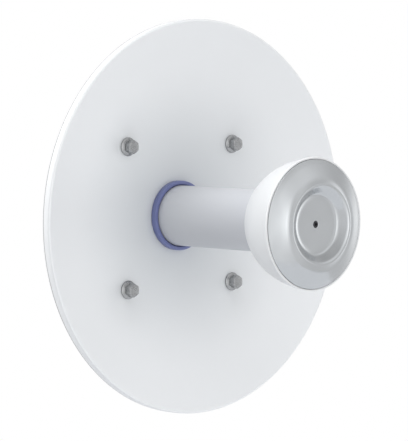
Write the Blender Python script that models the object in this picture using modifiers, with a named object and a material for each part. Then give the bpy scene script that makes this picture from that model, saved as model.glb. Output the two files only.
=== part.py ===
"""Small point-to-point dish antenna with its rear bracket.

The dish looks along -Y and +Z is up. The origin lies on the flat rear face of the pole
bracket, where the pole touches it. Lengths are in metres, written as millimetres times MM.
"Forward" is a distance in front of the dish's rim plane, and is negative behind it.
"""
import math

import bmesh
import bpy
from mathutils import Matrix, Vector

MM = 0.001

# Driving dimensions of the reflector
DISH_RADIUS = 210 * MM
BOWL_DEPTH = 39.8 * MM
BOWL_POWER = 2.4
RIM_ROLL = 2.5 * MM
SKIRT_LENGTH = 9.4 * MM
SHEET = 1.5 * MM
RIM_TO_POLE_FACE = 160 * MM
SEAT_RADIUS = 12 * MM
SEAT_DEPTH = 4.4 * MM
SEAT_RECESS = 1.7 * MM
SEAT_POCKET_RADIUS = 10.8 * MM

# Driving dimensions of the feed
TUBE_RADIUS = 32.4 * MM
TUBE_END_BEHIND_PLATE = 50 * MM
RING_RADIUS = 37.4 * MM
RING_THICKNESS = 7 * MM
CUP_LIP_RADIUS = 68.4 * MM
CUP_LIP_WALL = 2.1 * MM
CUP_RADIUS = 66.6 * MM
CUP_SHOULDER_DEPTH = 3 * MM
CUP_DEPTH = 77 * MM
CUP_WALL = 3 * MM
CUP_CURVE = 1.89
NECK_DEPTH = 65 * MM
CUP_FLOOR_DEPTH = 53 * MM
PLATE_FORWARD = 167.7 * MM
PLATE_SHEET = 2 * MM
PLATE_MIDDLE_HEIGHT = 2.1 * MM
PLATE_CREST_HEIGHT = 10.6 * MM

# Clearances between touching pieces; the second is for round ones with unlike numbers of sides
GAP = 0.3 * MM
ROUND_GAP = 0.4 * MM

# Fasteners
M8_RADIUS = 4 * MM
M8_FLATS = 13 * MM
M6_RADIUS = 3 * MM
M6_FLATS = 10 * MM
SCREW_RADIUS = 2 * MM
SCREW_HEAD_RADIUS = 3.6 * MM
SCREW_HEAD_DEPTH = 1.5 * MM
SCREW_LENGTH = 8 * MM
BOLT_SQUARE = 151 * MM
BOLT_FLANGE_RADIUS = 9.9 * MM
BOLT_FLANGE_HEIGHT = 3 * MM
BOLT_HEAD_HEIGHT = 7.5 * MM
NUT_HEIGHT = 6.5 * MM
SPACER_RADIUS = 9 * MM

# Radio tail and cable inlet
TAIL_RADIUS = 42 * MM
TAIL_LENGTH = 41 * MM
COVER_LENGTH = 10 * MM
INLET_BEHIND_RIM = 68 * MM
INLET_FACE = -47 * MM
INLET_RADIUS = 13 * MM
CABLE_RADIUS = 3.5 * MM
GLAND_FLATS = 22 * MM

# Rear bracket
PLATE_SIDE = 190 * MM
BACK_SHEET = 4 * MM
BACK_EDGE = 12 * MM
BACK_PLATE_FORWARD = -46.5 * MM
BACK_CORNER = 14 * MM
GROUND_SCREW_X = 30 * MM
GROUND_SCREW_Z = -79 * MM
YOKE_SHEET = 3 * MM
YOKE_HALF_WIDTH = 64 * MM
YOKE_HALF_HEIGHT = 60 * MM
YOKE_LENGTH = 90 * MM
YOKE_BOLT_OFFSET = 50 * MM
CHEEK_HALF_HEIGHT = 38 * MM
PIVOT_BEHIND_RIM = 112 * MM
PIVOT_DOWN = 20 * MM
SLOT_RADIUS = 42 * MM
SLOT_HALF_ANGLE = math.radians(18)
POLE_SHEET = 5 * MM
EAR_SHEET = 4 * MM
EAR_HALF_HEIGHT = 32 * MM
EAR_FRONT_BEHIND_RIM = 98 * MM
POLE_PLATE_HALF_HEIGHT = 75 * MM
POLE_RADIUS = 25 * MM
U_BOLT_OFFSET = 45 * MM
U_BOLT_REACH = 30 * MM

# Worked out from the above
RIM_EDGE = DISH_RADIUS - RIM_ROLL
BOLT_OFFSET = BOLT_SQUARE / 2
PLATE_RIM_RADIUS = CUP_LIP_RADIUS - CUP_LIP_WALL - GAP

# Relief of the metal plate: radius, height in front of its rim, and slope outwards
PLATE_RELIEF = [
    (0, PLATE_MIDDLE_HEIGHT, 0),
    (20 * MM, PLATE_MIDDLE_HEIGHT, 0),
    (28.5 * MM, PLATE_MIDDLE_HEIGHT + 0.5 * MM, 0.1),
    (33 * MM, 5.5 * MM, 0.83),
    (37.5 * MM, 9.2 * MM, 0.7),
    (41.5 * MM, PLATE_CREST_HEIGHT, 0),
    (50 * MM, 8.4 * MM, -0.42),
    (PLATE_RIM_RADIUS, 0, -0.62),
]

TUBE_FRONT = PLATE_FORWARD - TUBE_END_BEHIND_PLATE
HUB_HOLE_RADIUS = TUBE_RADIUS + ROUND_GAP
BACK_PLATE_REAR = BACK_PLATE_FORWARD - BACK_SHEET
YOKE_FRONT = -BACK_PLATE_REAR + GAP
EAR_OUTER = YOKE_HALF_WIDTH - YOKE_SHEET - GAP

# Smoothness of round pieces
FINE = 64
MEDIUM = 36
COARSE = 16

FRONT = Vector((0, -1, 0))
REAR = Vector((0, 1, 0))
DOWN = Vector((0, 0, -1))
SIDES = {"left": -1, "right": 1}
CORNERS = [(-1, 1), (1, 1), (-1, -1), (1, -1)]


def start_clean():
    """Empties the file and returns the collections for the parts and for the cutters."""
    for item in list(bpy.data.objects):
        bpy.data.objects.remove(item, do_unlink=True)
    collections = []
    for name in ("dish_antenna", "cutters"):
        collection = bpy.data.collections.new(name)
        bpy.context.scene.collection.children.link(collection)
        collections.append(collection)
    return collections


PARTS, CUTTERS = start_clean()


def make_material(name, colour, roughness, metallic=0.0):
    material = bpy.data.materials.new(name)
    material.use_nodes = True
    shader = material.node_tree.nodes["Principled BSDF"]
    shader.inputs["Base Color"].default_value = (*colour, 1.0)
    shader.inputs["Roughness"].default_value = roughness
    shader.inputs["Metallic"].default_value = metallic
    return material


WHITE_PAINT = make_material("white_paint", (0.82, 0.83, 0.85), 0.35)
WHITE_PLASTIC = make_material("white_plastic", (0.86, 0.87, 0.88), 0.3)
PALE_PLASTIC = make_material("pale_plastic", (0.68, 0.69, 0.72), 0.35)
BLUE_PLASTIC = make_material("blue_plastic", (0.09, 0.11, 0.32), 0.4)
SATIN_ALUMINIUM = make_material("satin_aluminium", (0.60, 0.61, 0.62), 0.35, 1.0)
ZINC_STEEL = make_material("zinc_steel", (0.48, 0.49, 0.50), 0.35, 1.0)
DARK_STEEL = make_material("dark_steel", (0.10, 0.10, 0.11), 0.45, 1.0)
GALVANISED = make_material("galvanised", (0.55, 0.56, 0.57), 0.5, 1.0)
GREY_PLASTIC = make_material("grey_plastic", (0.55, 0.56, 0.58), 0.5)
BLACK_PLASTIC = make_material("black_plastic", (0.03, 0.03, 0.035), 0.5)
BLACK_RUBBER = make_material("black_rubber", (0.02, 0.02, 0.02), 0.8)


def behind_rim(distance):
    """World Y of a plane that lies this far behind the rim plane."""
    return distance - RIM_TO_POLE_FACE


def add_part(name, data, material, collection=None):
    """Links an object into the parts, or as a cutter when that collection is given."""
    item = bpy.data.objects.new(name, data)
    (collection or PARTS).objects.link(item)
    if collection is CUTTERS:
        item.hide_render = True
        item.display_type = "WIRE"
    else:
        data.materials.clear()
        data.materials.append(material)
    return item


def point_along(item, place, direction):
    """Puts an object's own +Z along a direction, with its own origin at a place."""
    item.rotation_euler = Vector((0, 0, 1)).rotation_difference(direction).to_euler()
    item.location = place


def smooth(mesh):
    mesh.shade_smooth()
    mesh.set_sharp_from_angle(angle=math.radians(35))


def turned(name, profile, material, segments, closed=True):
    """A round solid from a profile of (radius, height) points, turned about its own Z.

    A closed profile makes a ring. An open one starts and ends on the axis.
    """
    mesh = bpy.data.meshes.new(name)
    points = [(radius, 0, height) for radius, height in profile]
    edges = [(index, index + 1) for index in range(len(points) - 1)]
    if closed:
        edges.append((len(points) - 1, 0))
    mesh.from_pydata(points, edges, [])
    item = add_part(name, mesh, material)
    screw = item.modifiers.new("turn", "SCREW")
    screw.steps = segments
    screw.render_steps = segments
    screw.use_merge_vertices = True
    screw.merge_threshold = 0.00001
    screw.use_smooth_shade = True
    return item


def cylinder(name, radius, low, high, segments=COARSE, material=None, collection=None):
    """A cylinder or prism about its own Z, from height low to height high."""
    mesh = bpy.data.meshes.new(name)
    shape = bmesh.new()
    bmesh.ops.create_cone(
        shape, cap_ends=True, segments=segments, radius1=radius, radius2=radius, depth=high - low
    )
    bmesh.ops.translate(shape, vec=(0, 0, (high + low) / 2), verts=shape.verts)
    shape.to_mesh(mesh)
    shape.free()
    return add_part(name, mesh, material, collection)


def combine(target, operation, tool):
    """Joins or cuts the target with another object."""
    boolean = target.modifiers.new(f"{operation.lower()}_{tool.name}", "BOOLEAN")
    boolean.operation = operation
    boolean.solver = "EXACT"
    boolean.object = tool


def finished_mesh(item, name):
    """The mesh of an object with its modifiers carried out; the object itself is removed."""
    graph = bpy.context.evaluated_depsgraph_get()
    mesh = bpy.data.meshes.new_from_object(item.evaluated_get(graph), depsgraph=graph)
    mesh.name = name
    bpy.data.objects.remove(item, do_unlink=True)
    return mesh


def circle(centre_x, centre_y, radius, count=COARSE):
    angles = [2 * math.pi * index / count for index in range(count)]
    return [(centre_x + radius * math.cos(a), centre_y + radius * math.sin(a)) for a in angles]


def arc(centre_x, centre_y, radius, start, end, count=5):
    """Points on an arc from the start to the end angle, both ends included."""
    angles = [start + (end - start) * index / (count - 1) for index in range(count)]
    return [(centre_x + radius * math.cos(a), centre_y + radius * math.sin(a)) for a in angles]


def rounded(corners, radius):
    """An outline with each corner of a polygon replaced by an arc of this radius."""
    outline = []
    total = len(corners)
    for index, corner in enumerate(corners):
        here = Vector(corner)
        before = (Vector(corners[index - 1]) - here).normalized()
        after = (Vector(corners[(index + 1) % total]) - here).normalized()
        half = before.angle(after) / 2
        reach = radius / math.tan(half)
        centre = here + (before + after).normalized() * radius / math.sin(half)
        first = here + before * reach - centre
        last = here + after * reach - centre
        turn = first.angle_signed(last)
        for step in range(5):
            spoke = Matrix.Rotation(-turn * step / 4, 2) @ first
            outline.append(tuple(centre + spoke))
    return outline


def rectangle(half_x, half_y):
    return [(-half_x, -half_y), (half_x, -half_y), (half_x, half_y), (-half_x, half_y)]


def outline_solid(name, loops, thickness, material, collection=None):
    """A flat outline with holes, given thickness both ways about its own XY plane."""
    curve = bpy.data.curves.new(name, "CURVE")
    curve.dimensions = "2D"
    curve.fill_mode = "BOTH"
    curve.extrude = thickness / 2
    for loop in loops:
        spline = curve.splines.new("POLY")
        spline.points.add(len(loop) - 1)
        for point, (x, y) in zip(spline.points, loop):
            point.co = (x, y, 0, 1)
        spline.use_cyclic_u = True
    drawn = bpy.data.objects.new(name + "_outline", curve)
    bpy.context.scene.collection.objects.link(drawn)
    mesh = finished_mesh(drawn, name)
    bpy.data.curves.remove(curve)
    shape = bmesh.new()
    shape.from_mesh(mesh)
    bmesh.ops.remove_doubles(shape, verts=shape.verts, dist=0.00001)
    bmesh.ops.recalc_face_normals(shape, faces=shape.faces)
    shape.to_mesh(mesh)
    shape.free()
    return add_part(name, mesh, material, collection)


def hex_radius(flats):
    """Corner radius of a hexagon with this width across its flats."""
    return flats / math.sqrt(3)


def bolt_mesh(name, radius, flats, flange_radius, flange_height, head_height, length):
    """A hex flange bolt: its own +Z points out of the head, and height 0 is the seat."""
    slope = 0.45 * flange_height
    profile = [
        (0, flange_height),
        (hex_radius(flats), flange_height),
        (flange_radius, flange_height - slope),
        (flange_radius, 0),
        (radius, 0),
        (radius, -length),
        (0, -length),
    ]
    item = turned(name, profile, ZINC_STEEL, COARSE, closed=False)
    head = cylinder(
        name + "_head", hex_radius(flats), flange_height - slope, flange_height + head_height,
        segments=6, collection=CUTTERS
    )
    combine(item, "UNION", head)
    mesh = finished_mesh(item, name)
    bpy.data.objects.remove(head, do_unlink=True)
    smooth(mesh)
    return mesh


def nut_mesh(name, radius, flats, height):
    """A hex nut on the same convention as the bolt, with a clear bore."""
    item = cylinder(name, hex_radius(flats), 0, height, segments=6, material=ZINC_STEEL)
    bore = cylinder(name + "_bore", radius + GAP, -height, 2 * height, collection=CUTTERS)
    combine(item, "DIFFERENCE", bore)
    mesh = finished_mesh(item, name)
    bpy.data.objects.remove(bore, do_unlink=True)
    smooth(mesh)
    return mesh


def repeat(mesh, name, place, direction, material=ZINC_STEEL):
    """One more object that shares a mesh."""
    item = add_part(name, mesh, material)
    point_along(item, place, direction)
    return item


# Reflector


def bowl_forward(radius):
    """Front surface of the bowl, a little flatter in its middle than a paraboloid."""
    return BOWL_DEPTH * ((radius / RIM_EDGE) ** BOWL_POWER - 1)


SEAT_FORWARD = bowl_forward(math.hypot(BOLT_OFFSET, BOLT_OFFSET)) - SEAT_RECESS
SEAT_REAR_FORWARD = SEAT_FORWARD - SEAT_DEPTH
TUBE_REAR = bowl_forward(HUB_HOLE_RADIUS) - SHEET
TAIL_FRONT = TUBE_REAR - GAP
TAIL_REAR = TAIL_FRONT - TAIL_LENGTH


def dish_profile():
    """Closed section of the sheet: rim roll, skirt, rear surface, hub hole, front surface."""
    steps = 8
    radii = [HUB_HOLE_RADIUS + (RIM_EDGE - HUB_HOLE_RADIUS) * i / steps for i in range(steps + 1)]
    front = [(r, bowl_forward(r)) for r in radii]
    rear_edge = RIM_EDGE - SHEET
    rear_radii = [r for r in radii[::2] if r < rear_edge]
    rear = [(r, bowl_forward(r) - SHEET) for r in reversed(rear_radii)]
    roll = arc(RIM_EDGE, -RIM_ROLL, RIM_ROLL, math.pi / 2, 0, 4)[1:]
    skirt = [
        (DISH_RADIUS, -SKIRT_LENGTH),
        (DISH_RADIUS - SHEET, -SKIRT_LENGTH),
        (DISH_RADIUS - SHEET, -RIM_ROLL - SHEET),
        (rear_edge, bowl_forward(rear_edge) - SHEET - MM),
    ]
    return roll + skirt + rear + front


def make_dish():
    """The sheet with a thick seat, a sunk flat and a hole for each of its four bolts."""
    dish = turned("dish_reflector", dish_profile(), WHITE_PAINT, FINE)
    point_along(dish, (0, behind_rim(0), 0), FRONT)
    clear = 20 * MM
    for index, (side, height) in enumerate(CORNERS, 1):
        x = side * BOLT_OFFSET
        z = height * BOLT_OFFSET
        back = seat_block(f"seat_block_{index}", x, z)
        pocket = cylinder(
            f"seat_pocket_{index}", SEAT_POCKET_RADIUS, SEAT_FORWARD, SEAT_FORWARD + clear,
            collection=CUTTERS
        )
        hole = cylinder(
            f"seat_hole_{index}", M8_RADIUS + GAP, SEAT_REAR_FORWARD - clear, SEAT_FORWARD + clear,
            collection=CUTTERS
        )
        steps = [(back, "UNION"), (pocket, "DIFFERENCE"), (hole, "DIFFERENCE")]
        for tool, operation in steps:
            point_along(tool, (x, behind_rim(0), z), FRONT)
            combine(dish, operation, tool)


def seat_block(name, x, z):
    """Thick seat behind the sheet, whose front follows the middle of the sheet."""
    block = cylinder(name, SEAT_RADIUS, SEAT_REAR_FORWARD, SEAT_FORWARD, collection=CUTTERS)
    for vertex in block.data.vertices:
        if vertex.co.z > (SEAT_REAR_FORWARD + SEAT_FORWARD) / 2:
            across = math.hypot(x + vertex.co.x, z + vertex.co.y)
            vertex.co.z = bowl_forward(across) - SHEET / 2
    return block


# Feed


def make_feed_ring():
    foot = bowl_forward(RING_RADIUS) + GAP
    top = foot + RING_THICKNESS
    inner = TUBE_RADIUS + GAP
    soft = 1.2 * MM
    profile = [(inner, top)]
    profile += arc(RING_RADIUS - soft, top - soft, soft, math.pi / 2, 0, 4)
    profile += [(RING_RADIUS, foot), (inner, foot)]
    ring = turned("feed_ring", profile, BLUE_PLASTIC, MEDIUM)
    point_along(ring, (0, behind_rim(0), 0), FRONT)


def make_feed_tube():
    soft = MM
    profile = [
        (0, TUBE_FRONT),
        (TUBE_RADIUS - soft, TUBE_FRONT),
        (TUBE_RADIUS, TUBE_FRONT - soft),
        (TUBE_RADIUS, TUBE_REAR),
        (0, TUBE_REAR),
    ]
    tube = turned("feed_tube", profile, PALE_PLASTIC, MEDIUM, closed=False)
    point_along(tube, (0, behind_rim(0), 0), FRONT)


def cup_radius(depth):
    """Outer radius of the bowl-shaped housing, at a depth behind the front of its lip."""
    share = max(0.0, (depth - CUP_SHOULDER_DEPTH) / (CUP_DEPTH - CUP_SHOULDER_DEPTH))
    return CUP_RADIUS * (1 - share ** CUP_CURVE) ** (1 / CUP_CURVE)


def make_cup_housing():
    """The bowl: lip, outer wall, neck on the tube, thick floor, inner wall and plate ledge."""
    outer_depths = [3, 12, 22, 32, 41, 49, 56, 61]
    inner_depths = [46, 34, 20, 7]
    soft = 0.6 * MM
    ledge = -PLATE_SHEET - GAP
    profile = [
        (PLATE_RIM_RADIUS + GAP, 0),
        (CUP_LIP_RADIUS - soft, GAP),
        (CUP_LIP_RADIUS, -soft),
        (CUP_LIP_RADIUS, -CUP_LIP_WALL + GAP),
    ]
    profile += [(cup_radius(depth * MM), -depth * MM) for depth in outer_depths]
    profile += [
        (cup_radius(NECK_DEPTH - MM), -NECK_DEPTH + MM),
        (TUBE_RADIUS + MM, -NECK_DEPTH),
        (TUBE_RADIUS + GAP, -NECK_DEPTH),
        (TUBE_RADIUS + GAP, -CUP_FLOOR_DEPTH),
        (cup_radius(CUP_FLOOR_DEPTH) - CUP_WALL * 1.5, -CUP_FLOOR_DEPTH),
    ]
    profile += [(cup_radius(depth * MM) - CUP_WALL, -depth * MM) for depth in inner_depths]
    profile += [(profile[-1][0], ledge), (PLATE_RIM_RADIUS + GAP, ledge)]
    cup = turned("cup_housing", profile, WHITE_PLASTIC, MEDIUM)
    point_along(cup, (0, behind_rim(-PLATE_FORWARD), 0), FRONT)


def plate_height(radius):
    """Relief of the metal plate: a cubic from each station to the next, with their slopes."""
    for (r0, h0, s0), (r1, h1, s1) in zip(PLATE_RELIEF, PLATE_RELIEF[1:]):
        if radius <= r1:
            break
    span = r1 - r0
    t = (radius - r0) / span
    rise = (h1 - h0) * t * t * (3 - 2 * t)
    return h0 + rise + span * t * (1 - t) * (s0 * (1 - t) - s1 * t)


def make_subreflector_plate():
    """Pressed sheet with a flat middle, a raised ring and a countersunk hole."""
    hole = SCREW_RADIUS + GAP
    mouth = SCREW_HEAD_RADIUS + ROUND_GAP
    radii = [20, 25, 28.5, 30.5, 33, 36, 38.5, 41.5, 44, 47, 51, 56, 61]
    front = [(mouth, PLATE_MIDDLE_HEIGHT)]
    front += [(radius * MM, plate_height(radius * MM)) for radius in radii]
    front += [(PLATE_RIM_RADIUS, 0)]
    rear = [(radius, height - PLATE_SHEET) for radius, height in front[:1:-2]]
    floor = PLATE_MIDDLE_HEIGHT - PLATE_SHEET
    cone_root = PLATE_MIDDLE_HEIGHT - SCREW_HEAD_DEPTH - ROUND_GAP / 2
    inner = [(hole, floor), (hole, cone_root)]
    plate = turned("subreflector_plate", front + rear + inner, SATIN_ALUMINIUM, MEDIUM)
    point_along(plate, (0, behind_rim(-PLATE_FORWARD), 0), FRONT)


def make_plate_screw():
    """Countersunk screw, flush with the middle of the plate."""
    top = PLATE_MIDDLE_HEIGHT
    profile = [
        (0, top),
        (SCREW_HEAD_RADIUS, top),
        (SCREW_RADIUS, top - SCREW_HEAD_DEPTH),
        (SCREW_RADIUS, top - SCREW_LENGTH),
        (0, top - SCREW_LENGTH),
    ]
    screw = turned("plate_screw", profile, DARK_STEEL, COARSE, closed=False)
    point_along(screw, (0, behind_rim(-PLATE_FORWARD), 0), FRONT)


# Bolts, spacers and nuts of the dish


def make_dish_bolts():
    """Flange bolts through the dish, a spacer tube behind it, and nuts behind the back plate."""
    length = SEAT_FORWARD - BACK_PLATE_REAR + NUT_HEIGHT + 4 * MM
    bolt = bolt_mesh(
        "dish_bolt", M8_RADIUS, M8_FLATS, BOLT_FLANGE_RADIUS, BOLT_FLANGE_HEIGHT, BOLT_HEAD_HEIGHT, length
    )
    nut = nut_mesh("dish_nut", M8_RADIUS, M8_FLATS, NUT_HEIGHT)
    low = BACK_PLATE_FORWARD + GAP
    high = SEAT_REAR_FORWARD - GAP
    bore = M8_RADIUS + GAP
    section = [(SPACER_RADIUS, high), (SPACER_RADIUS, low), (bore, low), (bore, high)]
    template = turned("dish_spacer", section, ZINC_STEEL, COARSE)
    spacer = finished_mesh(template, "dish_spacer")
    for index, (side, height) in enumerate(CORNERS, 1):
        x = side * BOLT_OFFSET
        z = height * BOLT_OFFSET
        repeat(bolt, f"dish_bolt_{index}", (x, behind_rim(-SEAT_FORWARD - GAP), z), FRONT)
        repeat(spacer, f"dish_spacer_{index}", (x, behind_rim(0), z), FRONT)
        repeat(nut, f"dish_nut_{index}", (x, behind_rim(-BACK_PLATE_REAR + GAP), z), REAR)


# Radio tail and cable inlet


def make_tail():
    """The rear end of the radio unit with the flat boss of its cable inlet, and its cover."""
    soft = 1.5 * MM
    profile = [
        (0, TAIL_FRONT),
        (TAIL_RADIUS - soft, TAIL_FRONT),
        (TAIL_RADIUS, TAIL_FRONT - soft),
        (TAIL_RADIUS, TAIL_REAR),
        (0, TAIL_REAR),
    ]
    tail = turned("tail_housing", profile, GREY_PLASTIC, MEDIUM, closed=False)
    point_along(tail, (0, behind_rim(0), 0), FRONT)
    root = -INLET_FACE - TAIL_RADIUS / 2
    boss = cylinder("inlet_boss", INLET_RADIUS, root, -INLET_FACE, collection=CUTTERS)
    point_along(boss, (0, behind_rim(INLET_BEHIND_RIM), 0), DOWN)
    combine(tail, "UNION", boss)

    round_off = 4 * MM
    high = TAIL_REAR - GAP
    low = high - COVER_LENGTH
    outline = [(0, high), (TAIL_RADIUS, high)]
    outline += arc(TAIL_RADIUS - round_off, low + round_off, round_off, 0, -math.pi / 2, 5)
    outline += [(0, low)]
    cover = turned("tail_cover", outline, GREY_PLASTIC, MEDIUM, closed=False)
    point_along(cover, (0, behind_rim(0), 0), FRONT)


def make_gland():
    """Cable gland below the tail. Heights are distances below the boss's face."""
    place = (0, behind_rim(INLET_BEHIND_RIM), INLET_FACE)
    hex_depth = 6 * MM
    spigot_depth = 13 * MM
    spigot = 7.5 * MM
    nut_depth = 22 * MM
    nut_radius = GLAND_FLATS / 2
    taper = 4 * MM
    mouth = 6.4 * MM
    profile = [(0, spigot_depth), (spigot, spigot_depth), (spigot, hex_depth), (0, hex_depth - MM)]
    body = turned("gland_body", profile, BLACK_PLASTIC, COARSE, closed=False)
    collar = cylinder(
        "gland_collar", hex_radius(GLAND_FLATS), GAP, hex_depth, segments=6, collection=CUTTERS
    )
    nut_profile = [
        (mouth, nut_depth),
        (nut_radius - taper / 2, nut_depth),
        (nut_radius, nut_depth - taper),
        (nut_radius, hex_depth + GAP),
        (spigot + GAP, hex_depth + GAP),
        (spigot + GAP, nut_depth - taper),
        (mouth, nut_depth - taper + MM),
    ]
    nut = turned("gland_nut", nut_profile, BLACK_PLASTIC, COARSE)
    seal_profile = [
        (CABLE_RADIUS, nut_depth + MM),
        (mouth - GAP, nut_depth + MM),
        (mouth - GAP, spigot_depth + GAP),
        (CABLE_RADIUS, spigot_depth + GAP),
    ]
    seal = turned("gland_seal", seal_profile, BLACK_RUBBER, COARSE)
    for item in (body, collar, nut, seal):
        point_along(item, place, DOWN)
    combine(body, "UNION", collar)


# Back plate and yoke


def tilted_position(angle, radius):
    """A point round the tilt pivot, as (distance behind the rim, height)."""
    return (
        PIVOT_BEHIND_RIM + radius * math.cos(angle),
        -PIVOT_DOWN + radius * math.sin(angle),
    )


def make_back_plate():
    """A tray: a flat sheet whose edges are folded to the rear."""
    half = PLATE_SIDE / 2
    holes = [circle(0, 0, TAIL_RADIUS + ROUND_GAP, MEDIUM)]
    holes += [circle(s * BOLT_OFFSET, h * BOLT_OFFSET, M8_RADIUS + GAP) for s, h in CORNERS]
    holes += [circle(s * YOKE_BOLT_OFFSET, h * YOKE_BOLT_OFFSET, M6_RADIUS + GAP) for s, h in CORNERS]
    holes += [circle(GROUND_SCREW_X, GROUND_SCREW_Z, M6_RADIUS + GAP)]
    outer = rounded(rectangle(half, half), BACK_CORNER)
    tray = outline_solid("back_plate", [outer] + holes, BACK_EDGE, GALVANISED)
    inset = half - YOKE_SHEET
    inside = rounded(rectangle(inset, inset), BACK_CORNER - YOKE_SHEET)
    pocket = outline_solid("back_pocket", [inside], BACK_EDGE, None, CUTTERS)
    middle = -BACK_PLATE_FORWARD + BACK_EDGE / 2
    stand_outline(tray, behind_rim(middle))
    stand_outline(pocket, behind_rim(middle + BACK_SHEET))
    combine(tray, "DIFFERENCE", pocket)


def stand_outline(item, y):
    """Stands a flat outline upright: its own X and Y become world X and Z."""
    item.rotation_euler = (math.pi / 2, 0, 0)
    item.location = (0, y, 0)


def channel_plan(half_width, web_at, web, cheek, reach, corner):
    """Plan of a bent channel, as (x, distance behind the rim); reach is its open end."""
    direction = 1 if reach > web_at else -1
    inner_web = web_at + direction * web
    inner = half_width - cheek
    outer = [(-half_width, reach), (-half_width, web_at), (half_width, web_at), (half_width, reach)]
    inside = [(inner, reach), (inner, inner_web), (-inner, inner_web), (-inner, reach)]
    soft = corner * (1 - math.cos(math.pi / 4))
    bends = []
    for x, y in outer:
        if y == web_at:
            toward = -1 if x > 0 else 1
            first = (x, y + direction * corner)
            middle = (x + toward * soft, y + direction * soft)
            last = (x + toward * corner, y)
            bends += [first, middle, last] if x < 0 else [last, middle, first]
        else:
            bends.append((x, y))
    return bends + inside


def stand_channel(name, plan, side_loops, material, half_width):
    """A channel cut to its side outline; both outlines give distances behind the rim."""
    height = 2 * max(abs(z) for _, z in side_loops[0]) + 10 * MM
    channel = outline_solid(name, [plan], height, material)
    channel.location = (0, behind_rim(0), 0)
    side = outline_solid(name + "_side", side_loops, 2 * half_width + 20 * MM, None, CUTTERS)
    side.matrix_world = Matrix(((0, 0, 1, 0), (1, 0, 0, behind_rim(0)), (0, 1, 0, 0), (0, 0, 0, 1)))
    combine(channel, "INTERSECT", side)
    return channel


def arc_slot():
    """Slot round the pivot in which the lock bolt slides."""
    half = M8_RADIUS + GAP
    start = math.pi / 2 - SLOT_HALF_ANGLE
    end = math.pi / 2 + SLOT_HALF_ANGLE
    steps = 9
    angles = [start + (end - start) * index / (steps - 1) for index in range(steps)]
    outer = [tilted_position(angle, SLOT_RADIUS + half) for angle in angles]
    inner = [tilted_position(angle, SLOT_RADIUS - half) for angle in reversed(angles)]
    far = arc(*tilted_position(end, SLOT_RADIUS), half, end, end + math.pi, 7)
    near = arc(*tilted_position(start, SLOT_RADIUS), half, start - math.pi, start, 7)
    return outer + far[1:-1] + inner + near[1:-1]


def make_yoke():
    """Two cheeks that taper from the web to their round ends, with pivot holes and slots."""
    end = YOKE_FRONT + YOKE_LENGTH
    straight = YOKE_FRONT + 10 * MM
    upper = [(YOKE_FRONT - MM, YOKE_HALF_HEIGHT), (straight, YOKE_HALF_HEIGHT)]
    lower = [(y, -z) for y, z in upper]
    round_end = 16 * MM
    tail_end = arc(end - round_end, -CHEEK_HALF_HEIGHT + round_end, round_end, -math.pi / 2, 0)
    tail_end += arc(end - round_end, CHEEK_HALF_HEIGHT - round_end, round_end, 0, math.pi / 2)
    outline = lower + tail_end + upper[::-1]
    pivot = circle(*tilted_position(0, 0), M8_RADIUS + GAP)
    plan = channel_plan(YOKE_HALF_WIDTH, YOKE_FRONT, YOKE_SHEET, YOKE_SHEET, end + MM, 4 * MM)
    yoke = stand_channel("tilt_yoke", plan, [outline, pivot, arc_slot()], GALVANISED, YOKE_HALF_WIDTH)
    deep = 2 * YOKE_SHEET
    hub = TAIL_RADIUS + 4 * MM
    tools = [cylinder("yoke_hub_hole", hub, -deep, deep, MEDIUM, collection=CUTTERS)]
    places = [(0, 0)]
    for index, (side, height) in enumerate(CORNERS, 1):
        tools.append(cylinder(f"yoke_hole_{index}", M6_RADIUS + GAP, -deep, deep, collection=CUTTERS))
        places.append((side * YOKE_BOLT_OFFSET, height * YOKE_BOLT_OFFSET))
    for tool, (x, z) in zip(tools, places):
        point_along(tool, (x, behind_rim(YOKE_FRONT), z), REAR)
        combine(yoke, "DIFFERENCE", tool)


def make_yoke_bolts():
    """Bolts from the yoke's side and the earthing screw, all through the back plate."""
    seat = YOKE_FRONT + YOKE_SHEET + GAP
    past = 1.5 * MM
    head = 4 * MM
    length = seat + BACK_PLATE_FORWARD + past
    bolt = bolt_mesh("yoke_bolt", M6_RADIUS, M6_FLATS, 6.5 * MM, 1.5 * MM, head, length)
    for index, (side, height) in enumerate(CORNERS, 1):
        place = (side * YOKE_BOLT_OFFSET, behind_rim(seat), height * YOKE_BOLT_OFFSET)
        repeat(bolt, f"yoke_bolt_{index}", place, REAR)
    seat = -BACK_PLATE_REAR + GAP
    length = BACK_SHEET + past
    screw = bolt_mesh("ground_screw", M6_RADIUS, M6_FLATS, 8 * MM, 2 * MM, head, length)
    repeat(screw, "ground_screw", (GROUND_SCREW_X, behind_rim(seat), GROUND_SCREW_Z), REAR)


# Pole bracket with its bolts


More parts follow.
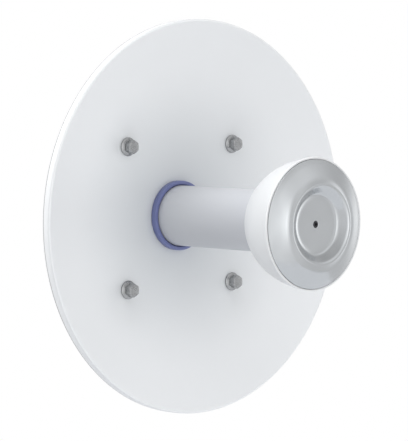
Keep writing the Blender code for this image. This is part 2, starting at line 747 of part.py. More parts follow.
def make_pole_bracket():
    """A tall web against the pole, with two ears between the cheeks of the yoke."""
    web_front = RIM_TO_POLE_FACE - POLE_SHEET - 2 * MM
    web_rear = RIM_TO_POLE_FACE + MM
    tall = POLE_PLATE_HALF_HEIGHT
    ears = EAR_HALF_HEIGHT
    flare = 8 * MM
    round_end = 14 * MM
    front = EAR_FRONT_BEHIND_RIM
    lower = [
        (web_front - flare, -ears),
        (web_front, -ears - flare),
        (web_front, -tall),
        (web_rear, -tall),
    ]
    outline = lower + [(y, -z) for y, z in reversed(lower)]
    outline += arc(front + round_end, ears - round_end, round_end, math.pi / 2, math.pi)
    outline += arc(front + round_end, round_end - ears, round_end, math.pi, 1.5 * math.pi)
    holes = [
        circle(*tilted_position(0, 0), M8_RADIUS + GAP),
        circle(*tilted_position(math.pi / 2, SLOT_RADIUS), M8_RADIUS + GAP),
    ]
    plan = channel_plan(EAR_OUTER, RIM_TO_POLE_FACE, POLE_SHEET, EAR_SHEET, front - MM, 5 * MM)
    bracket = stand_channel("pole_bracket", plan, [outline] + holes, GALVANISED, EAR_OUTER)
    deep = 2 * POLE_SHEET
    for index, (side, height) in enumerate(CORNERS, 1):
        hole = cylinder(f"u_bolt_hole_{index}", M8_RADIUS + GAP, -deep, deep, collection=CUTTERS)
        point_along(hole, (side * U_BOLT_REACH, 0, height * U_BOLT_OFFSET), REAR)
        combine(bracket, "DIFFERENCE", hole)


def make_tilt_bolts():
    """Pivot and lock bolts on both sides: heads outside the yoke, nuts inside the ears."""
    length = YOKE_SHEET + EAR_SHEET + NUT_HEIGHT + 5 * MM
    bolt = bolt_mesh("tilt_bolt", M8_RADIUS, M8_FLATS, 8.9 * MM, 1.8 * MM, 5.5 * MM, length)
    nut = nut_mesh("tilt_nut", M8_RADIUS, M8_FLATS, NUT_HEIGHT)
    spots = {"pivot": tilted_position(0, 0), "lock": tilted_position(math.pi / 2, SLOT_RADIUS)}
    for spot, (behind, height) in spots.items():
        for side, sign in SIDES.items():
            outward = Vector((sign, 0, 0))
            head = Vector((sign * (YOKE_HALF_WIDTH + GAP), behind_rim(behind), height))
            inner = Vector((sign * (EAR_OUTER - EAR_SHEET - GAP), behind_rim(behind), height))
            repeat(bolt, f"{spot}_bolt_{side}", head, outward)
            repeat(nut, f"{spot}_nut_{side}", inner, -outward)


def make_u_bolts():
    """Round bars bent round the pole, with a nut on each leg in front of the web."""
    centre = POLE_RADIUS + GAP
    bend = [(x, centre + y) for x, y in arc(0, 0, U_BOLT_REACH, 0, math.pi, 13)]
    leg_end = -POLE_SHEET - NUT_HEIGHT - 8 * MM
    path = [(U_BOLT_REACH, leg_end)] + bend + [(-U_BOLT_REACH, leg_end)]
    nut = nut_mesh("u_bolt_nut", M8_RADIUS, M8_FLATS, NUT_HEIGHT)
    for name, height in (("upper", U_BOLT_OFFSET), ("lower", -U_BOLT_OFFSET)):
        curve = bpy.data.curves.new(f"u_bolt_{name}", "CURVE")
        curve.dimensions = "3D"
        curve.bevel_depth = M8_RADIUS
        curve.bevel_resolution = 2
        curve.use_fill_caps = True
        spline = curve.splines.new("POLY")
        spline.points.add(len(path) - 1)
        for point, (x, y) in zip(spline.points, path):
            point.co = (x, y, 0, 1)
        bar = add_part(f"u_bolt_{name}", curve, ZINC_STEEL)
        bar.location = (0, 0, height)
        for side, sign in SIDES.items():
            place = (sign * U_BOLT_REACH, -POLE_SHEET - GAP, height)
            repeat(nut, f"u_bolt_nut_{name}_{side}", place, FRONT)


make_dish()
make_feed_ring()
make_feed_tube()
make_cup_housing()
make_subreflector_plate()
make_plate_screw()
make_dish_bolts()
make_tail()
make_gland()
make_back_plate()
make_yoke()
make_yoke_bolts()
make_pole_bracket()
make_tilt_bolts()
make_u_bolts()
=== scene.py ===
"""Looks of a small point-to-point dish antenna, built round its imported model.

Lengths are in metres. The dish looks along -Y, +Z is up, and the origin lies on the flat
rear face of the pole bracket. "Forward" is a distance in front of the dish's rim plane.
"""
import math

import bmesh
import bpy
import numpy as np
from bpy.props import FloatProperty, FloatVectorProperty, IntProperty, PointerProperty
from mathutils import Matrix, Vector


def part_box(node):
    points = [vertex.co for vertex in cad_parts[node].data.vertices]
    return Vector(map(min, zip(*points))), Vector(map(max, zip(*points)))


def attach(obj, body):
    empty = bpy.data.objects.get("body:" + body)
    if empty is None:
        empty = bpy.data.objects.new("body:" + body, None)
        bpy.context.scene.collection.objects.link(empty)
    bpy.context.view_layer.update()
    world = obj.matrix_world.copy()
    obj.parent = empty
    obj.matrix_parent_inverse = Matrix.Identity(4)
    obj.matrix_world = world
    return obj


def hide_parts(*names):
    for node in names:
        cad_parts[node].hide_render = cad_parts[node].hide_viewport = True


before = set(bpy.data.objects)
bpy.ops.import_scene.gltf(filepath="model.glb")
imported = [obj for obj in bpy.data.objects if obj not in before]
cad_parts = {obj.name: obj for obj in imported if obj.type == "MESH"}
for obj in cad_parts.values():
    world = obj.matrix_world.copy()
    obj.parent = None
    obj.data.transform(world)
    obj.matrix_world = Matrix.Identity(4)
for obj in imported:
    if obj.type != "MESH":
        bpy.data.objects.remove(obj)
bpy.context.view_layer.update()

bl_info = {
    "name": "Dish antenna",
    "version": (1, 0, 0),
    "blender": (4, 5, 0),
    "location": "3D View > Sidebar > Antenna",
    "description": "Builds the surfaces, finishes and studio of a small dish antenna",
    "category": "Object",
}

MM = 0.001


def forward_to_y(forward):
    return RIM_Y - forward


def bowl_forward(radius):
    """The bowl, a little flatter in its middle than a paraboloid: the depth times the
    share of the radius to a power, less one. It meets the rim plane at the rim's roll."""
    return BOWL_DEPTH * ((radius / RIM_EDGE) ** BOWL_POWER - 1)


# Reflector
DISH_LOW, DISH_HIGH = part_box("dish_reflector")
RIM_Y = DISH_LOW.y
RIM_ROLL = 2.5 * MM
RIM_EDGE = DISH_HIGH.x - RIM_ROLL
BOWL_DEPTH = 39.8 * MM
BOWL_POWER = 2.4
SHEET = 1.5 * MM
BOLT_OFFSET = sum(corner.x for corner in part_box("dish_bolt_2")) / 2
# Signs of x and z of the four bolts, in the order of their numbers
CORNERS = [(-1, 1), (1, 1), (-1, -1), (1, -1)]
SEAT_DEPTH = 4.4 * MM
SEAT_RECESS = 1.7 * MM
SEAT_FORWARD = bowl_forward(math.hypot(BOLT_OFFSET, BOLT_OFFSET)) - SEAT_RECESS
SEAT_FLAT = 10.5 * MM
SEAT_BLEND = 46 * MM
SEAT_BOSS = 12 * MM

# Tube, cup and metal plate
TUBE_LOW, TUBE_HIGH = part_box("feed_tube")
CUP_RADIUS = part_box("cup_housing")[1].x
CUP_LIP_DEPTH = 1.8 * MM
CUP_BODY_RADIUS = 66.6 * MM
CUP_SHOULDER_DEPTH = 3 * MM
CUP_DEPTH = 77 * MM
CUP_CURVE = 1.89
CUP_WALL = 3 * MM
NECK_DEPTH = 65 * MM
CUP_FLOOR_DEPTH = 53 * MM
PLATE_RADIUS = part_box("subreflector_plate")[1].x
PLATE_FORWARD = 167.7 * MM
PLATE_SHEET = 2 * MM
PLATE_MIDDLE = 2.1 * MM
PLATE_STEPS = 2640
SCREW_HEAD = 3.6 * MM
SCREW_CONE = 1.7 * MM

# Fits, the gland's spigot, and fasteners: shank radius, width across the flats, and pitch
GAP = 0.3 * MM
SLACK = 0.02 * MM
GLAND_SPIGOT = 7.5 * MM
M8 = (4 * MM, 13 * MM, 1.25 * MM)
M6 = (3 * MM, 10 * MM, 1.0 * MM)
# Share of the pitch that a thread is deep, its rows in one turn, and how steep a chamfer is
THREAD_DEPTH = 0.55
THREAD_ROWS = 8
CHAMFER = 0.55

# Directions of the pieces that are turned about an axis of their own
FRONT = (0, -1, 0)
REAR = (0, 1, 0)
UP = (0, 0, 1)
DOWN = (0, 0, -1)

# Sign of x on either side
SIDES = {"left": -1, "right": 1}

# The photograph's frame and what was measured in it
PHOTO_WIDTH = 408
PHOTO_HEIGHT = 441
FOCAL_PIXELS = 2401.6
RIM_CENTRE_PIXEL = (201.78, 216.88)
CAMERA_DISTANCE = 2.5566
CAMERA_AZIMUTH = -42.94
CAMERA_ELEVATION = 3.6
SENSOR = 36.0
WHITE = (1, 1, 1)
STUDIO_TINT = (0.985, 0.992, 1.0)
FLOOR_COLOUR = (0.55, 0.56, 0.58)
# Radii from the outside in, so that the floor's faces point up, and how fast the low light
# fades with height
FLOOR_RINGS = (1.6, 1.2, 0.8, 0.4, 0)
BAND_FADE = 1.4

# Shares of red, green and blue that a colour keeps where shade is painted into it: painted
# shade on the paint at the hub, round the rim and on the cut edge, on the ring's bevel and on
# the tube underneath, and painted light along the tube's length towards its foot
HUB_PAINTED_SHADE = (0.805, 0.82, 0.83)
RIM_PAINTED_SHADE = (0.83, 0.83, 0.83)
EDGE_PAINTED_SHADE = (0.34, 0.34, 0.34)
BEVEL_PAINTED_SHADE = (0.55, 0.56, 0.6)
UNDERSIDE_PAINTED_SHADE = (0.77, 0.775, 0.785)
TUBE_PAINTED_LIGHT_SLANT = 0.4

# Soft lights of the studio: azimuth from the dish's axis to its left (minus) or right and
# elevation, spread across and upwards, all in degrees, strength, and how flat the light is
# before it fades: 1 for a bell, 2 for a soft box
GLOWS = {
    "large one behind the upper left": (-145, 42, 20, 18, 2.25, 1),
    "large one at the upper left": (-110, 42, 20, 18, 1.21, 1),
    "large one over the left": (-110, 70, 20, 18, 2.78, 1),
    "far left of the row in front": (-34, 0, 7, 20, 0.14, 2),
    "left of the row in front": (-16, 0, 7, 20, 0.46, 2),
    "middle of the row in front": (2, 0, 6, 12, 1.28, 1),
    "right of the row in front": (29, 0, 7, 20, 0.2, 2),
    "narrow strip at the right": (60, -2, 4, 9, 1.8, 1),
    "second strip at the right": (86, -2, 4, 9, 0.275, 1),
    "third strip at the right": (98, -2, 5, 9, 0.6, 1),
    "above the front": (-5, 25, 18, 10, 0.51, 1),
    "above the right": (35, 34, 16, 10, 0.54, 1),
    "far above the right": (75, 34, 16, 10, 0.23, 1),
    "below the front": (-5, -30, 18, 12, 0.34, 1),
}


# Meshes worked out as grids of points


def placed(radius, height, angle, origin, direction):
    """Points at a radius and an angle round an axis, and at a height along it. The two
    cross directions are turned from those of the z axis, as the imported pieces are."""
    turn = Vector(UP).rotation_difference(Vector(direction))
    across, beside, axis = (np.array(turn @ Vector(unit)) for unit in np.eye(3))
    radius, height, angle = np.broadcast_arrays(radius, height, angle)
    return (
        np.array(origin)
        + (radius * np.cos(angle))[..., None] * across
        + (radius * np.sin(angle))[..., None] * beside
        + height[..., None] * axis
    )


def around(count):
    return np.linspace(0, 2 * np.pi, count, endpoint=False)


def rings(rows, angle, origin, direction):
    """Circles of (radius, height) round an axis; each may have a value for every angle."""
    radii, heights = (
        np.vstack([np.broadcast_to(row[part], angle.shape) for row in rows]) for part in (0, 1)
    )
    return placed(radii, heights, angle, origin, direction)


def turned(profile, segments, origin, direction):
    """A profile of (radius, height) carried round an axis: one row for each of its points."""
    return rings(profile, around(segments), origin, direction)


def fillet(centre, radius, start, end, count=8):
    """Points of (radius, height) on an arc between two angles in degrees."""
    angle = np.radians(np.linspace(start, end, count))
    return list(zip(centre[0] + radius * np.cos(angle), centre[1] + radius * np.sin(angle)))


def softened(corners, radius, count=5):
    """A profile whose inner corners are replaced by short parabolas of about this radius."""
    points = [np.array(corners[0], float)]
    for triple in zip(corners, corners[1:], corners[2:]):
        before, here, after = (np.array(corner, float) for corner in triple)
        start, end = (
            here + way / max(np.linalg.norm(way), 1e-9) * min(radius, np.linalg.norm(way) * 0.45)
            for way in (before - here, after - here)
        )
        for t in np.linspace(0, 1, count):
            points.append((1 - t) ** 2 * start + 2 * t * (1 - t) * here + t * t * end)
    return points + [np.array(corners[-1], float)]


def smooth_step(values, low, high):
    """0 below low, 1 above high, and an S-shaped cubic between."""
    t = np.clip((values - low) / (high - low), 0, 1)
    return t * t * (3 - 2 * t)


def hexagon(flats, angle):
    """Distance to the side of a hexagon with a corner at angle 90 degrees."""
    sector = np.pi / 3
    return flats / 2 / np.cos((angle - np.pi / 2) % sector - sector / 2)


def hexagon_face(flats, angle, shares, washer, slope, least=0):
    """Rows of (radius, drop) over a hexagonal face at shares of its radius, none less than
    a bore. Outside a round washer the face drops by a slope, which chamfers the corners."""
    radii = [np.maximum(hexagon(flats, angle) * share, least) for share in shares]
    return [(radius, np.maximum(radius - flats / 2 * washer, 0) * slope) for radius in radii]


def grid_faces(rows, columns, ring):
    """Quads between neighbouring rows and columns; columns close, and rows too for a ring."""
    index = np.arange(rows * columns).reshape(rows, columns)
    if ring:
        index = np.vstack([index, index[:1]])
    here = index[:-1]
    above = index[1:]
    quads = np.stack([here, np.roll(here, -1, 1), np.roll(above, -1, 1), above], axis=-1)
    return quads.reshape(-1, 4)


def volume(points, quads):
    """Signed volume inside closed quads: a sum of tetrahedra to the origin."""
    a, b, c, d = (points[quads[:, k]] for k in range(4))
    first = np.einsum("ij,ij->i", a, np.cross(b, c))
    second = np.einsum("ij,ij->i", a, np.cross(c, d))
    return (first + second).sum() / 6


def merge_doubles(mesh, distance, flatten=False):
    """Merges a mesh's doubles; flatten also joins the faces that lie in one plane."""
    shape = bmesh.new()
    shape.from_mesh(mesh)
    bmesh.ops.remove_doubles(shape, verts=shape.verts, dist=distance)
    if flatten:
        bmesh.ops.dissolve_limit(
            shape, angle_limit=math.radians(1), verts=shape.verts, edges=shape.edges
        )
    shape.to_mesh(mesh)
    shape.free()


def grid_mesh(name, points, quads, distance):
    """A mesh of points and faces, with its doubles merged."""
    mesh = bpy.data.meshes.new(name)
    mesh.from_pydata(points.tolist(), [], quads.tolist())
    merge_doubles(mesh, distance)
    mesh.validate()
    return mesh


def finish_piece(name, mesh, material, node, sharp=35):
    """Shades a mesh, links it, and says what it rides on, replaces and is finished in."""
    mesh.shade_smooth()
    mesh.set_sharp_from_angle(angle=math.radians(sharp))
    mesh.materials.clear()
    mesh.materials.append(material)
    piece = bpy.data.objects.new(name, mesh)
    bpy.context.scene.collection.objects.link(piece)
    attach(piece, "root")
    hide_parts(node)
    return piece


def skin(name, grids, material, node, sharp=35):
    """Makes one piece from closed grids and gives it its material, body and node.

    Each grid is (points, ring). A grid that is no ring starts and ends in a pole or in a
    row of no width, and its ends are merged shut. Faces are turned to point outwards.
    """
    points = []
    faces = []
    first = 0
    for grid, ring in grids:
        rows, columns = grid.shape[:2]
        flat = grid.reshape(-1, 3)
        quads = grid_faces(rows, columns, ring)
        if volume(flat - flat.mean(0), quads) < 0:
            quads = quads[:, ::-1]
        points.append(flat)
        faces.append(quads + first)
        first += rows * columns
    mesh = grid_mesh(name, np.vstack(points), np.vstack(faces), 0.002 * MM)
    return finish_piece(name, mesh, material, node, sharp)


# Nodes of materials and of the world


def connect(tree, node, inputs):
    """Gives inputs a value or another node's socket, by their name or place."""
    for key, value in dict(inputs).items():
        socket = node.inputs[key]
        if isinstance(value, bpy.types.NodeSocket):
            tree.links.new(value, socket)
        elif socket.type == "RGBA":
            socket.default_value = (*value[:3], 1)
        else:
            socket.default_value = value


def add_node(tree, kind, inputs=(), **settings):
    """A node with its settings and inputs, placed to the right of those made before it."""
    node = tree.nodes.new(kind)
    count = len(tree.nodes)
    node.location = (180 * count, -120 * (count % 5))
    for key, value in settings.items():
        setattr(node, key, value)
    connect(tree, node, inputs)
    return node


def math_node(tree, operation, *values):
    """The result of a Math node."""
    return add_node(tree, "ShaderNodeMath", enumerate(values), operation=operation).outputs[0]


def vector_node(tree, operation, *values):
    """The result of a Vector Math node. To scale, the second value is the scale."""
    keys = (0, "Scale") if operation == "SCALE" else (0, 1, 2)
    node = add_node(tree, "ShaderNodeVectorMath", zip(keys, values), operation=operation)
    return node.outputs["Value" if operation in ("LENGTH", "DOT_PRODUCT") else "Vector"]


def object_coordinates(tree):
    return add_node(tree, "ShaderNodeTexCoord").outputs["Object"]


def coordinate(tree, place, letter):
    return add_node(tree, "ShaderNodeSeparateXYZ", {0: place}).outputs[letter]


def noise(tree, place, scale, detail):
    inputs = {"Vector": place, "Scale": scale, "Detail": detail}
    return add_node(tree, "ShaderNodeTexNoise", inputs).outputs


def new_group(name, inputs, outputs):
    """A node group with a socket for each input's default: a tuple is a colour. Returns
    the group, the inputs' sockets inside it, and its output node."""
    group = bpy.data.node_groups.new(name, "ShaderNodeTree")
    kinds = {tuple: "NodeSocketColor", float: "NodeSocketFloat"}
    for label, value in inputs.items():
        kind = kinds[type(value)]
        socket = group.interface.new_socket(name=label, in_out="INPUT", socket_type=kind)
        socket.default_value = value
    for label in outputs:
        kind = kinds[tuple if label == "Colour" else float]
        group.interface.new_socket(name=label, in_out="OUTPUT", socket_type=kind)
    return group, add_node(group, "NodeGroupInput").outputs, add_node(group, "NodeGroupOutput")


def vary(group, leave, entry, tint, rough, height):
    """Ends a group: its colour times one plus a change, its roughness plus a change, and a
    height. Each change is a value and a share that multiplies it."""
    factor = math_node(group, "MULTIPLY_ADD", *tint, 1.0)
    rough = math_node(group, "MULTIPLY_ADD", *rough, entry["Roughness"])
    colour = vector_node(group, "SCALE", entry["Colour"], factor)
    connect(group, leave, {"Colour": colour, "Roughness": rough, "Height": height})
    return group


def surface_grain_group():
    """Tints a colour and a roughness with slow and fine noise, and gives a height for bump."""
    inputs = {
        "Colour": (0.8, 0.8, 0.8, 1), "Roughness": 0.4, "Tint": 0.03, "Rough change": 0.05,
        "Slow scale": 18.0, "Fine scale": 900.0,
    }
    group, entry, leave = new_group("surface_grain", inputs, ("Colour", "Roughness", "Height"))
    place = object_coordinates(group)
    slow = noise(group, place, entry["Slow scale"], 3.0)["Fac"]
    fine = noise(group, place, entry["Fine scale"], 2.0)["Fac"]
    centred = math_node(group, "SUBTRACT", math_node(group, "ADD", slow, fine), 1.0)
    rough = (centred, entry["Rough change"])
    return vary(group, leave, entry, (centred, entry["Tint"]), rough, fine)


def axis_distance_group():
    """Distance from the dish's axis: the root of the sum of the squares of x and z."""
    group, _, leave = new_group("axis_distance", {}, ["Distance"])
    flat = vector_node(group, "MULTIPLY", object_coordinates(group), (1, 0, 1))
    connect(group, leave, {"Distance": vector_node(group, "LENGTH", flat)})
    return group


def soft_tone_group():
    """Goes from one colour to the other along an S-shaped curve as a value goes up."""
    inputs = {
        "Value": 0.0, "Low": 0.0, "High": 1.0, "Low colour": (0.5, 0.5, 0.5, 1),
        "High colour": (0.8, 0.8, 0.8, 1),
    }
    group, entry, leave = new_group("soft_tone", inputs, ["Colour"])
    ends = {"Value": entry["Value"], "From Min": entry["Low"], "From Max": entry["High"]}
    share = add_node(group, "ShaderNodeMapRange", ends, interpolation_type="SMOOTHSTEP")
    change = vector_node(group, "SUBTRACT", entry["High colour"], entry["Low colour"])
    part = vector_node(group, "SCALE", change, share.outputs[0])
    connect(group, leave, {"Colour": vector_node(group, "ADD", part, entry["Low colour"])})
    return group


def zinc_spangle_group():
    """Crystal patches of hot-dip zinc: each cell has its own brightness and roughness."""
    inputs = {"Colour": (0.6, 0.6, 0.6, 1), "Roughness": 0.4, "Contrast": 0.25, "Scale": 160.0}
    group, entry, leave = new_group("zinc_spangle", inputs, ("Colour", "Roughness", "Height"))
    place = object_coordinates(group)
    reach = (6 * MM, 6 * MM, 6 * MM)
    warp = noise(group, place, 90.0, 2.0)["Color"]
    shifted = vector_node(group, "MULTIPLY_ADD", warp, reach, place)
    cells = add_node(group, "ShaderNodeTexVoronoi", {"Vector": shifted, "Scale": entry["Scale"]})
    parts = add_node(group, "ShaderNodeSeparateColor", {"Color": cells.outputs["Color"]}).outputs
    centred = math_node(group, "SUBTRACT", parts["Red"], 0.5)
    rough = (parts["Green"], 0.22)
    return vary(group, leave, entry, (centred, entry["Contrast"]), rough, parts["Blue"])


GROUPS = {
    "surface_grain": surface_grain_group,
    "axis_distance": axis_distance_group,
    "soft_tone": soft_tone_group,
    "zinc_spangle": zinc_spangle_group,
}


def group_node(tree, name, inputs=()):
    """The outputs of a shared node group, which is made when it is first used."""
    group = bpy.data.node_groups.get(name) or GROUPS[name]()
    return add_node(tree, "ShaderNodeGroup", inputs, node_tree=group).outputs


def axis_distance(tree):
    return group_node(tree, "axis_distance")["Distance"]


def toned(tree, value, low, high, low_colour, high_colour):
    """A colour that goes from one to the other as the value goes from low to high."""
    labels = ("Value", "Low", "High", "Low colour", "High colour")
    values = (value, low, high, low_colour, high_colour)
    return group_node(tree, "soft_tone", zip(labels, values))["Colour"]


def shade(colour, share):
    return tuple(part * kept for part, kept in zip(colour, share))


# Materials


def principled(name, colour, roughness, metallic):
    """A material with its shader; the constants are set on the shader's own sockets."""
    material = bpy.data.materials.new(name)
    material.use_nodes = True
    material.diffuse_color = (*colour[:3], 1)
    tree = material.node_tree
    shader = tree.nodes["Principled BSDF"]
    connect(tree, shader, {"Base Color": colour, "Roughness": roughness, "Metallic": metallic})
    return material, tree, shader


def add_bump(tree, shader, height, depth, strength=1.0):
    """Bump from a height socket; depth is the real height of the relief."""
    inputs = {"Strength": strength, "Distance": depth, "Height": height}
    bump = add_node(tree, "ShaderNodeBump", inputs)
    connect(tree, shader, {"Normal": bump.outputs["Normal"]})


def use_group(tree, shader, group, depth, strength=1.0):
    """Takes the shader's colour, roughness and bump from a group's outputs."""
    connect(tree, shader, {"Base Color": group["Colour"], "Roughness": group["Roughness"]})
    add_bump(tree, shader, group["Height"], depth, strength)


def surface_grain(tree, colour, roughness, grain):
    """The outputs of the grain group. Grain is its tint, its change of roughness, and the
    scales of its slow and its fine noise."""
    labels = ("Colour", "Roughness", "Tint", "Rough change", "Slow scale", "Fine scale")
    return group_node(tree, "surface_grain", zip(labels, (colour, roughness, *grain)))


# Finishes with surface grain: roughness, metallic, depth of the grain, and the grain itself
FINISHES = {
    "white_powder_coat": (0.42, 0.0, 0.015 * MM, (0.02, 0.08, 12.0, 700.0)),
    "white_cup_plastic": (0.36, 0.0, 0.004 * MM, (0.015, 0.05, 25.0, 1500.0)),
    "pale_tube_plastic": (0.38, 0.0, 0.004 * MM, (0.02, 0.05, 20.0, 1500.0)),
    "blue_ring_plastic": (0.42, 0.0, 0.006 * MM, (0.08, 0.08, 60.0, 1800.0)),
    "zinc_plated_steel": (0.27, 1.0, 0.003 * MM, (0.25, 0.25, 250.0, 2500.0)),
    "dark_screw_steel": (0.45, 1.0, 0.003 * MM, (0.2, 0.15, 400.0, 3000.0)),
    "grey_tail_plastic": (0.5, 0.0, 0.05 * MM, (0.05, 0.1, 30.0, 1300.0)),
    "black_gland_plastic": (0.45, 0.0, 0.01 * MM, (0.2, 0.1, 60.0, 1500.0)),
    "black_seal_rubber": (0.75, 0.0, 0.02 * MM, (0.2, 0.1, 80.0, 1200.0)),
}


def grained(name, colour, tones=None):
    """One of the finishes, made once for all the pieces that share it. Tones is a function
    that gives the colour's socket."""
    if name in bpy.data.materials:
        return bpy.data.materials[name]
    roughness, metallic, depth, grain = FINISHES[name]
    material, tree, shader = principled(name, colour, roughness, metallic)
    if tones:
        colour = tones(tree)
    use_group(tree, shader, surface_grain(tree, colour, roughness, grain), depth)
    return material


def dish_paint(settings):
    """White powder coat with a fine orange peel. Painted shade makes it a little darker towards
    the hub and round the folded rim, and dark on the cut edge of the skirt."""
    paint = tuple(settings.paint)
    radius = DISH_HIGH.x
    end = radius + RIM_Y + settings.skirt

    def tones(tree):
        distance = axis_distance(tree)
        behind = math_node(tree, "ADD", distance, coordinate(tree, object_coordinates(tree), "Y"))
        # Painted shade: the paint darkens towards the hub, round the feed's foot
        colour = toned(tree, distance, 40 * MM, 170 * MM, shade(paint, HUB_PAINTED_SHADE), paint)
        # Painted shade round the folded rim and on the skirt
        rim = shade(paint, RIM_PAINTED_SHADE)
        colour = toned(tree, distance, radius - 1.2 * MM, radius - 0.3 * MM, colour, rim)
        # Painted shade: a dark line along the cut edge of the skirt
        edge = shade(paint, EDGE_PAINTED_SHADE)
        return toned(tree, behind, end - 1.8 * MM, end - 0.8 * MM, colour, edge)

    return grained("white_powder_coat", paint, tones)


def cup_plastic(settings):
    """Smooth moulded plastic with a soft gloss; a painted highlight makes the lip whiter."""
    body = tuple(settings.cup_colour)
    lip = forward_to_y(PLATE_FORWARD) + 0.5 * MM

    def tones(tree):
        y = coordinate(tree, object_coordinates(tree), "Y")
        # Painted highlight: the lip is whiter than the body
        return toned(tree, y, lip, lip + 0.8 * MM, tuple(settings.lip_painted_highlight), body)

    return grained("white_cup_plastic", body, tones)


def tube_plastic(settings):
    """Smooth plastic with painted shade on its lower side and painted light towards its foot, so
    a little darker underneath and towards the cup.
    """
    top = tuple(settings.tube_colour)
    middle = TUBE_PAINTED_LIGHT_SLANT * (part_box("feed_ring")[0].y - 40 * MM)

    def tones(tree):
        # Painted shade underneath and painted light towards the foot, by height and by length
        slant = vector_node(tree, "DOT_PRODUCT", object_coordinates(tree), (0, TUBE_PAINTED_LIGHT_SLANT, 1))
        painted_underside_shade = shade(top, UNDERSIDE_PAINTED_SHADE)
        return toned(tree, slant, middle - 45 * MM, middle + 40 * MM, painted_underside_shade, top)

    return grained("pale_tube_plastic", top, tones)


def ring_plastic(settings):
    """Satin blue plastic, with painted shade on the bevel beside the tube."""
    blue = tuple(settings.ring_colour)
    bevel = TUBE_HIGH.x + 1.2 * MM

    def tones(tree):
        # Painted shade on the bevel that faces the tube
        painted_bevel_shade = shade(blue, BEVEL_PAINTED_SHADE)
        return toned(tree, axis_distance(tree), bevel, bevel + 0.8 * MM, painted_bevel_shade, blue)

    return grained("blue_ring_plastic", blue, tones)


def plate_metal(settings):
    """Pressed aluminium: satin, with very faint rings from the press tool."""
    colour = settings.colour
    material, tree, shader = principled("satin_plate_metal", colour, settings.roughness, 0.85)
    inputs = {"W": axis_distance(tree), "Scale": 2200.0, "Detail": 3.0}
    pressed = add_node(tree, "ShaderNodeTexNoise", inputs, noise_dimensions="1D").outputs["Fac"]
    group = surface_grain(tree, colour, settings.roughness, (0.05, 0.06, 40.0, 3000.0))
    rough = math_node(tree, "MULTIPLY_ADD", pressed, 0.05, group["Roughness"])
    connect(tree, shader, {"Base Color": group["Colour"], "Roughness": rough})
    add_bump(tree, shader, pressed, 0.002 * MM)
    return material


def galvanised(settings):
    """Hot-dip zinc on sheet steel, with its crystal patches."""
    colour = settings.galvanised
    material, tree, shader = principled("galvanised_steel", colour, 0.38, 1.0)
    group = group_node(tree, "zinc_spangle", {"Colour": colour, "Roughness": 0.32})
    use_group(tree, shader, group, 0.02 * MM, 0.3)
    return material


# What a user may change


def colour_setting(name, description, default):
    return FloatVectorProperty(
        name=name, description=description, subtype="COLOR", size=3, min=0, max=1,
        default=default,
    )


def length_setting(name, description, default):
    return FloatProperty(name=name, description=description, unit="LENGTH", default=default)


def share_setting(name, description, default):
    return FloatProperty(name=name, description=description, default=default, min=0, max=1)


def steps_setting(description, default):
    return IntProperty(name="Segments", description=description, default=default, min=24)


class ReflectorSettings(bpy.types.PropertyGroup):
    paint: colour_setting("Paint", "Colour of the reflector", (0.873, 0.883, 0.893))
    skirt: length_setting("Skirt", "Length of the rim's turned-back skirt", 9.4 * MM)
    segments: steps_setting("Steps round the reflector", 480)


class FeedSettings(bpy.types.PropertyGroup):
    tube_colour: colour_setting("Tube", "Colour of the feed tube", (0.62, 0.631, 0.658))
    ring_colour: colour_setting(
        "Ring", "Colour of the ring at the tube's foot", (0.168, 0.195, 0.40)
    )
    cup_colour: colour_setting(
        "Cup", "Colour of the bowl-shaped housing", (0.634, 0.643, 0.652)
    )
    # The lip's colour is a painted highlight
    lip_painted_highlight: colour_setting(
        "Lip", "Colour of the housing's lip round the plate", (0.80, 0.805, 0.81)
    )
    segments: steps_setting("Steps round the tube and the cup", 256)


class PlateSettings(bpy.types.PropertyGroup):
    colour: colour_setting("Metal", "Colour of the pressed plate", (0.554, 0.569, 0.582))
    roughness: share_setting("Roughness", "How matt the pressed plate is", 0.15)
    crest: length_setting("Crest", "Height of the raised ring", 10.6 * MM)


class FastenerSettings(bpy.types.PropertyGroup):
    zinc: colour_setting("Zinc", "Colour of the plated fasteners", (0.38, 0.385, 0.39))
    segments: steps_setting("Steps round a bolt, a multiple of six", 72)


class BracketSettings(bpy.types.PropertyGroup):
    galvanised: colour_setting("Galvanised", "Colour of the steel brackets", (0.52, 0.53, 0.54))
    tail_colour: colour_setting("Tail", "Colour of the radio's rear housing", (0.50, 0.51, 0.53))
    bevel: length_setting("Edge", "Width of the worn-off sheet edges", 0.5 * MM)


class StageSettings(bpy.types.PropertyGroup):
    floor_drop: length_setting("Floor", "How far the floor lies below the origin", 0.9)
    even: share_setting("Even light", "Strength of the light from all round", 0.276)
    floor_light: share_setting("Floor light", "Strength of the light the floor gives off", 0.15)
    band: share_setting("Low light", "Strength below and at the horizon, none high above", 0.445)


SETTINGS = {
    "antenna_reflector": ReflectorSettings,
    "antenna_feed": FeedSettings,
    "antenna_plate": PlateSettings,
    "antenna_fasteners": FastenerSettings,
    "antenna_bracket": BracketSettings,
    "antenna_stage": StageSettings,
}


# Pieces


def sheet_grid(settings):
    """Rows run over the front from the hub to the rim, round the skirt and back behind.

    The front is the bowl, blended round each bolt into a flat seat.
    """
    radius = DISH_HIGH.x
    inner = radius - SHEET
    hub = TUBE_HIGH.x + 0.4 * MM
    angle = around(settings.segments)
    skirt = [
        (radius, -RIM_ROLL - MM),
        (radius, -settings.skirt),
        (inner, -settings.skirt),
        (inner, -RIM_ROLL - 2 * SHEET),
        (RIM_EDGE - SHEET / 2, bowl_forward(RIM_EDGE) - SHEET - MM),
    ]
    rows = [(r, pressed(r, angle, 0)) for r in np.linspace(hub, RIM_EDGE, 96)]
    rows += fillet((RIM_EDGE, -RIM_ROLL), RIM_ROLL, 80, 0, 9) + softened(skirt, 0.6 * MM)
    rows += [(r, pressed(r, angle, SHEET)) for r in np.linspace(RIM_EDGE - SHEET, hub, 56)]
    return rings(rows, angle, (0, RIM_Y, 0), FRONT), True


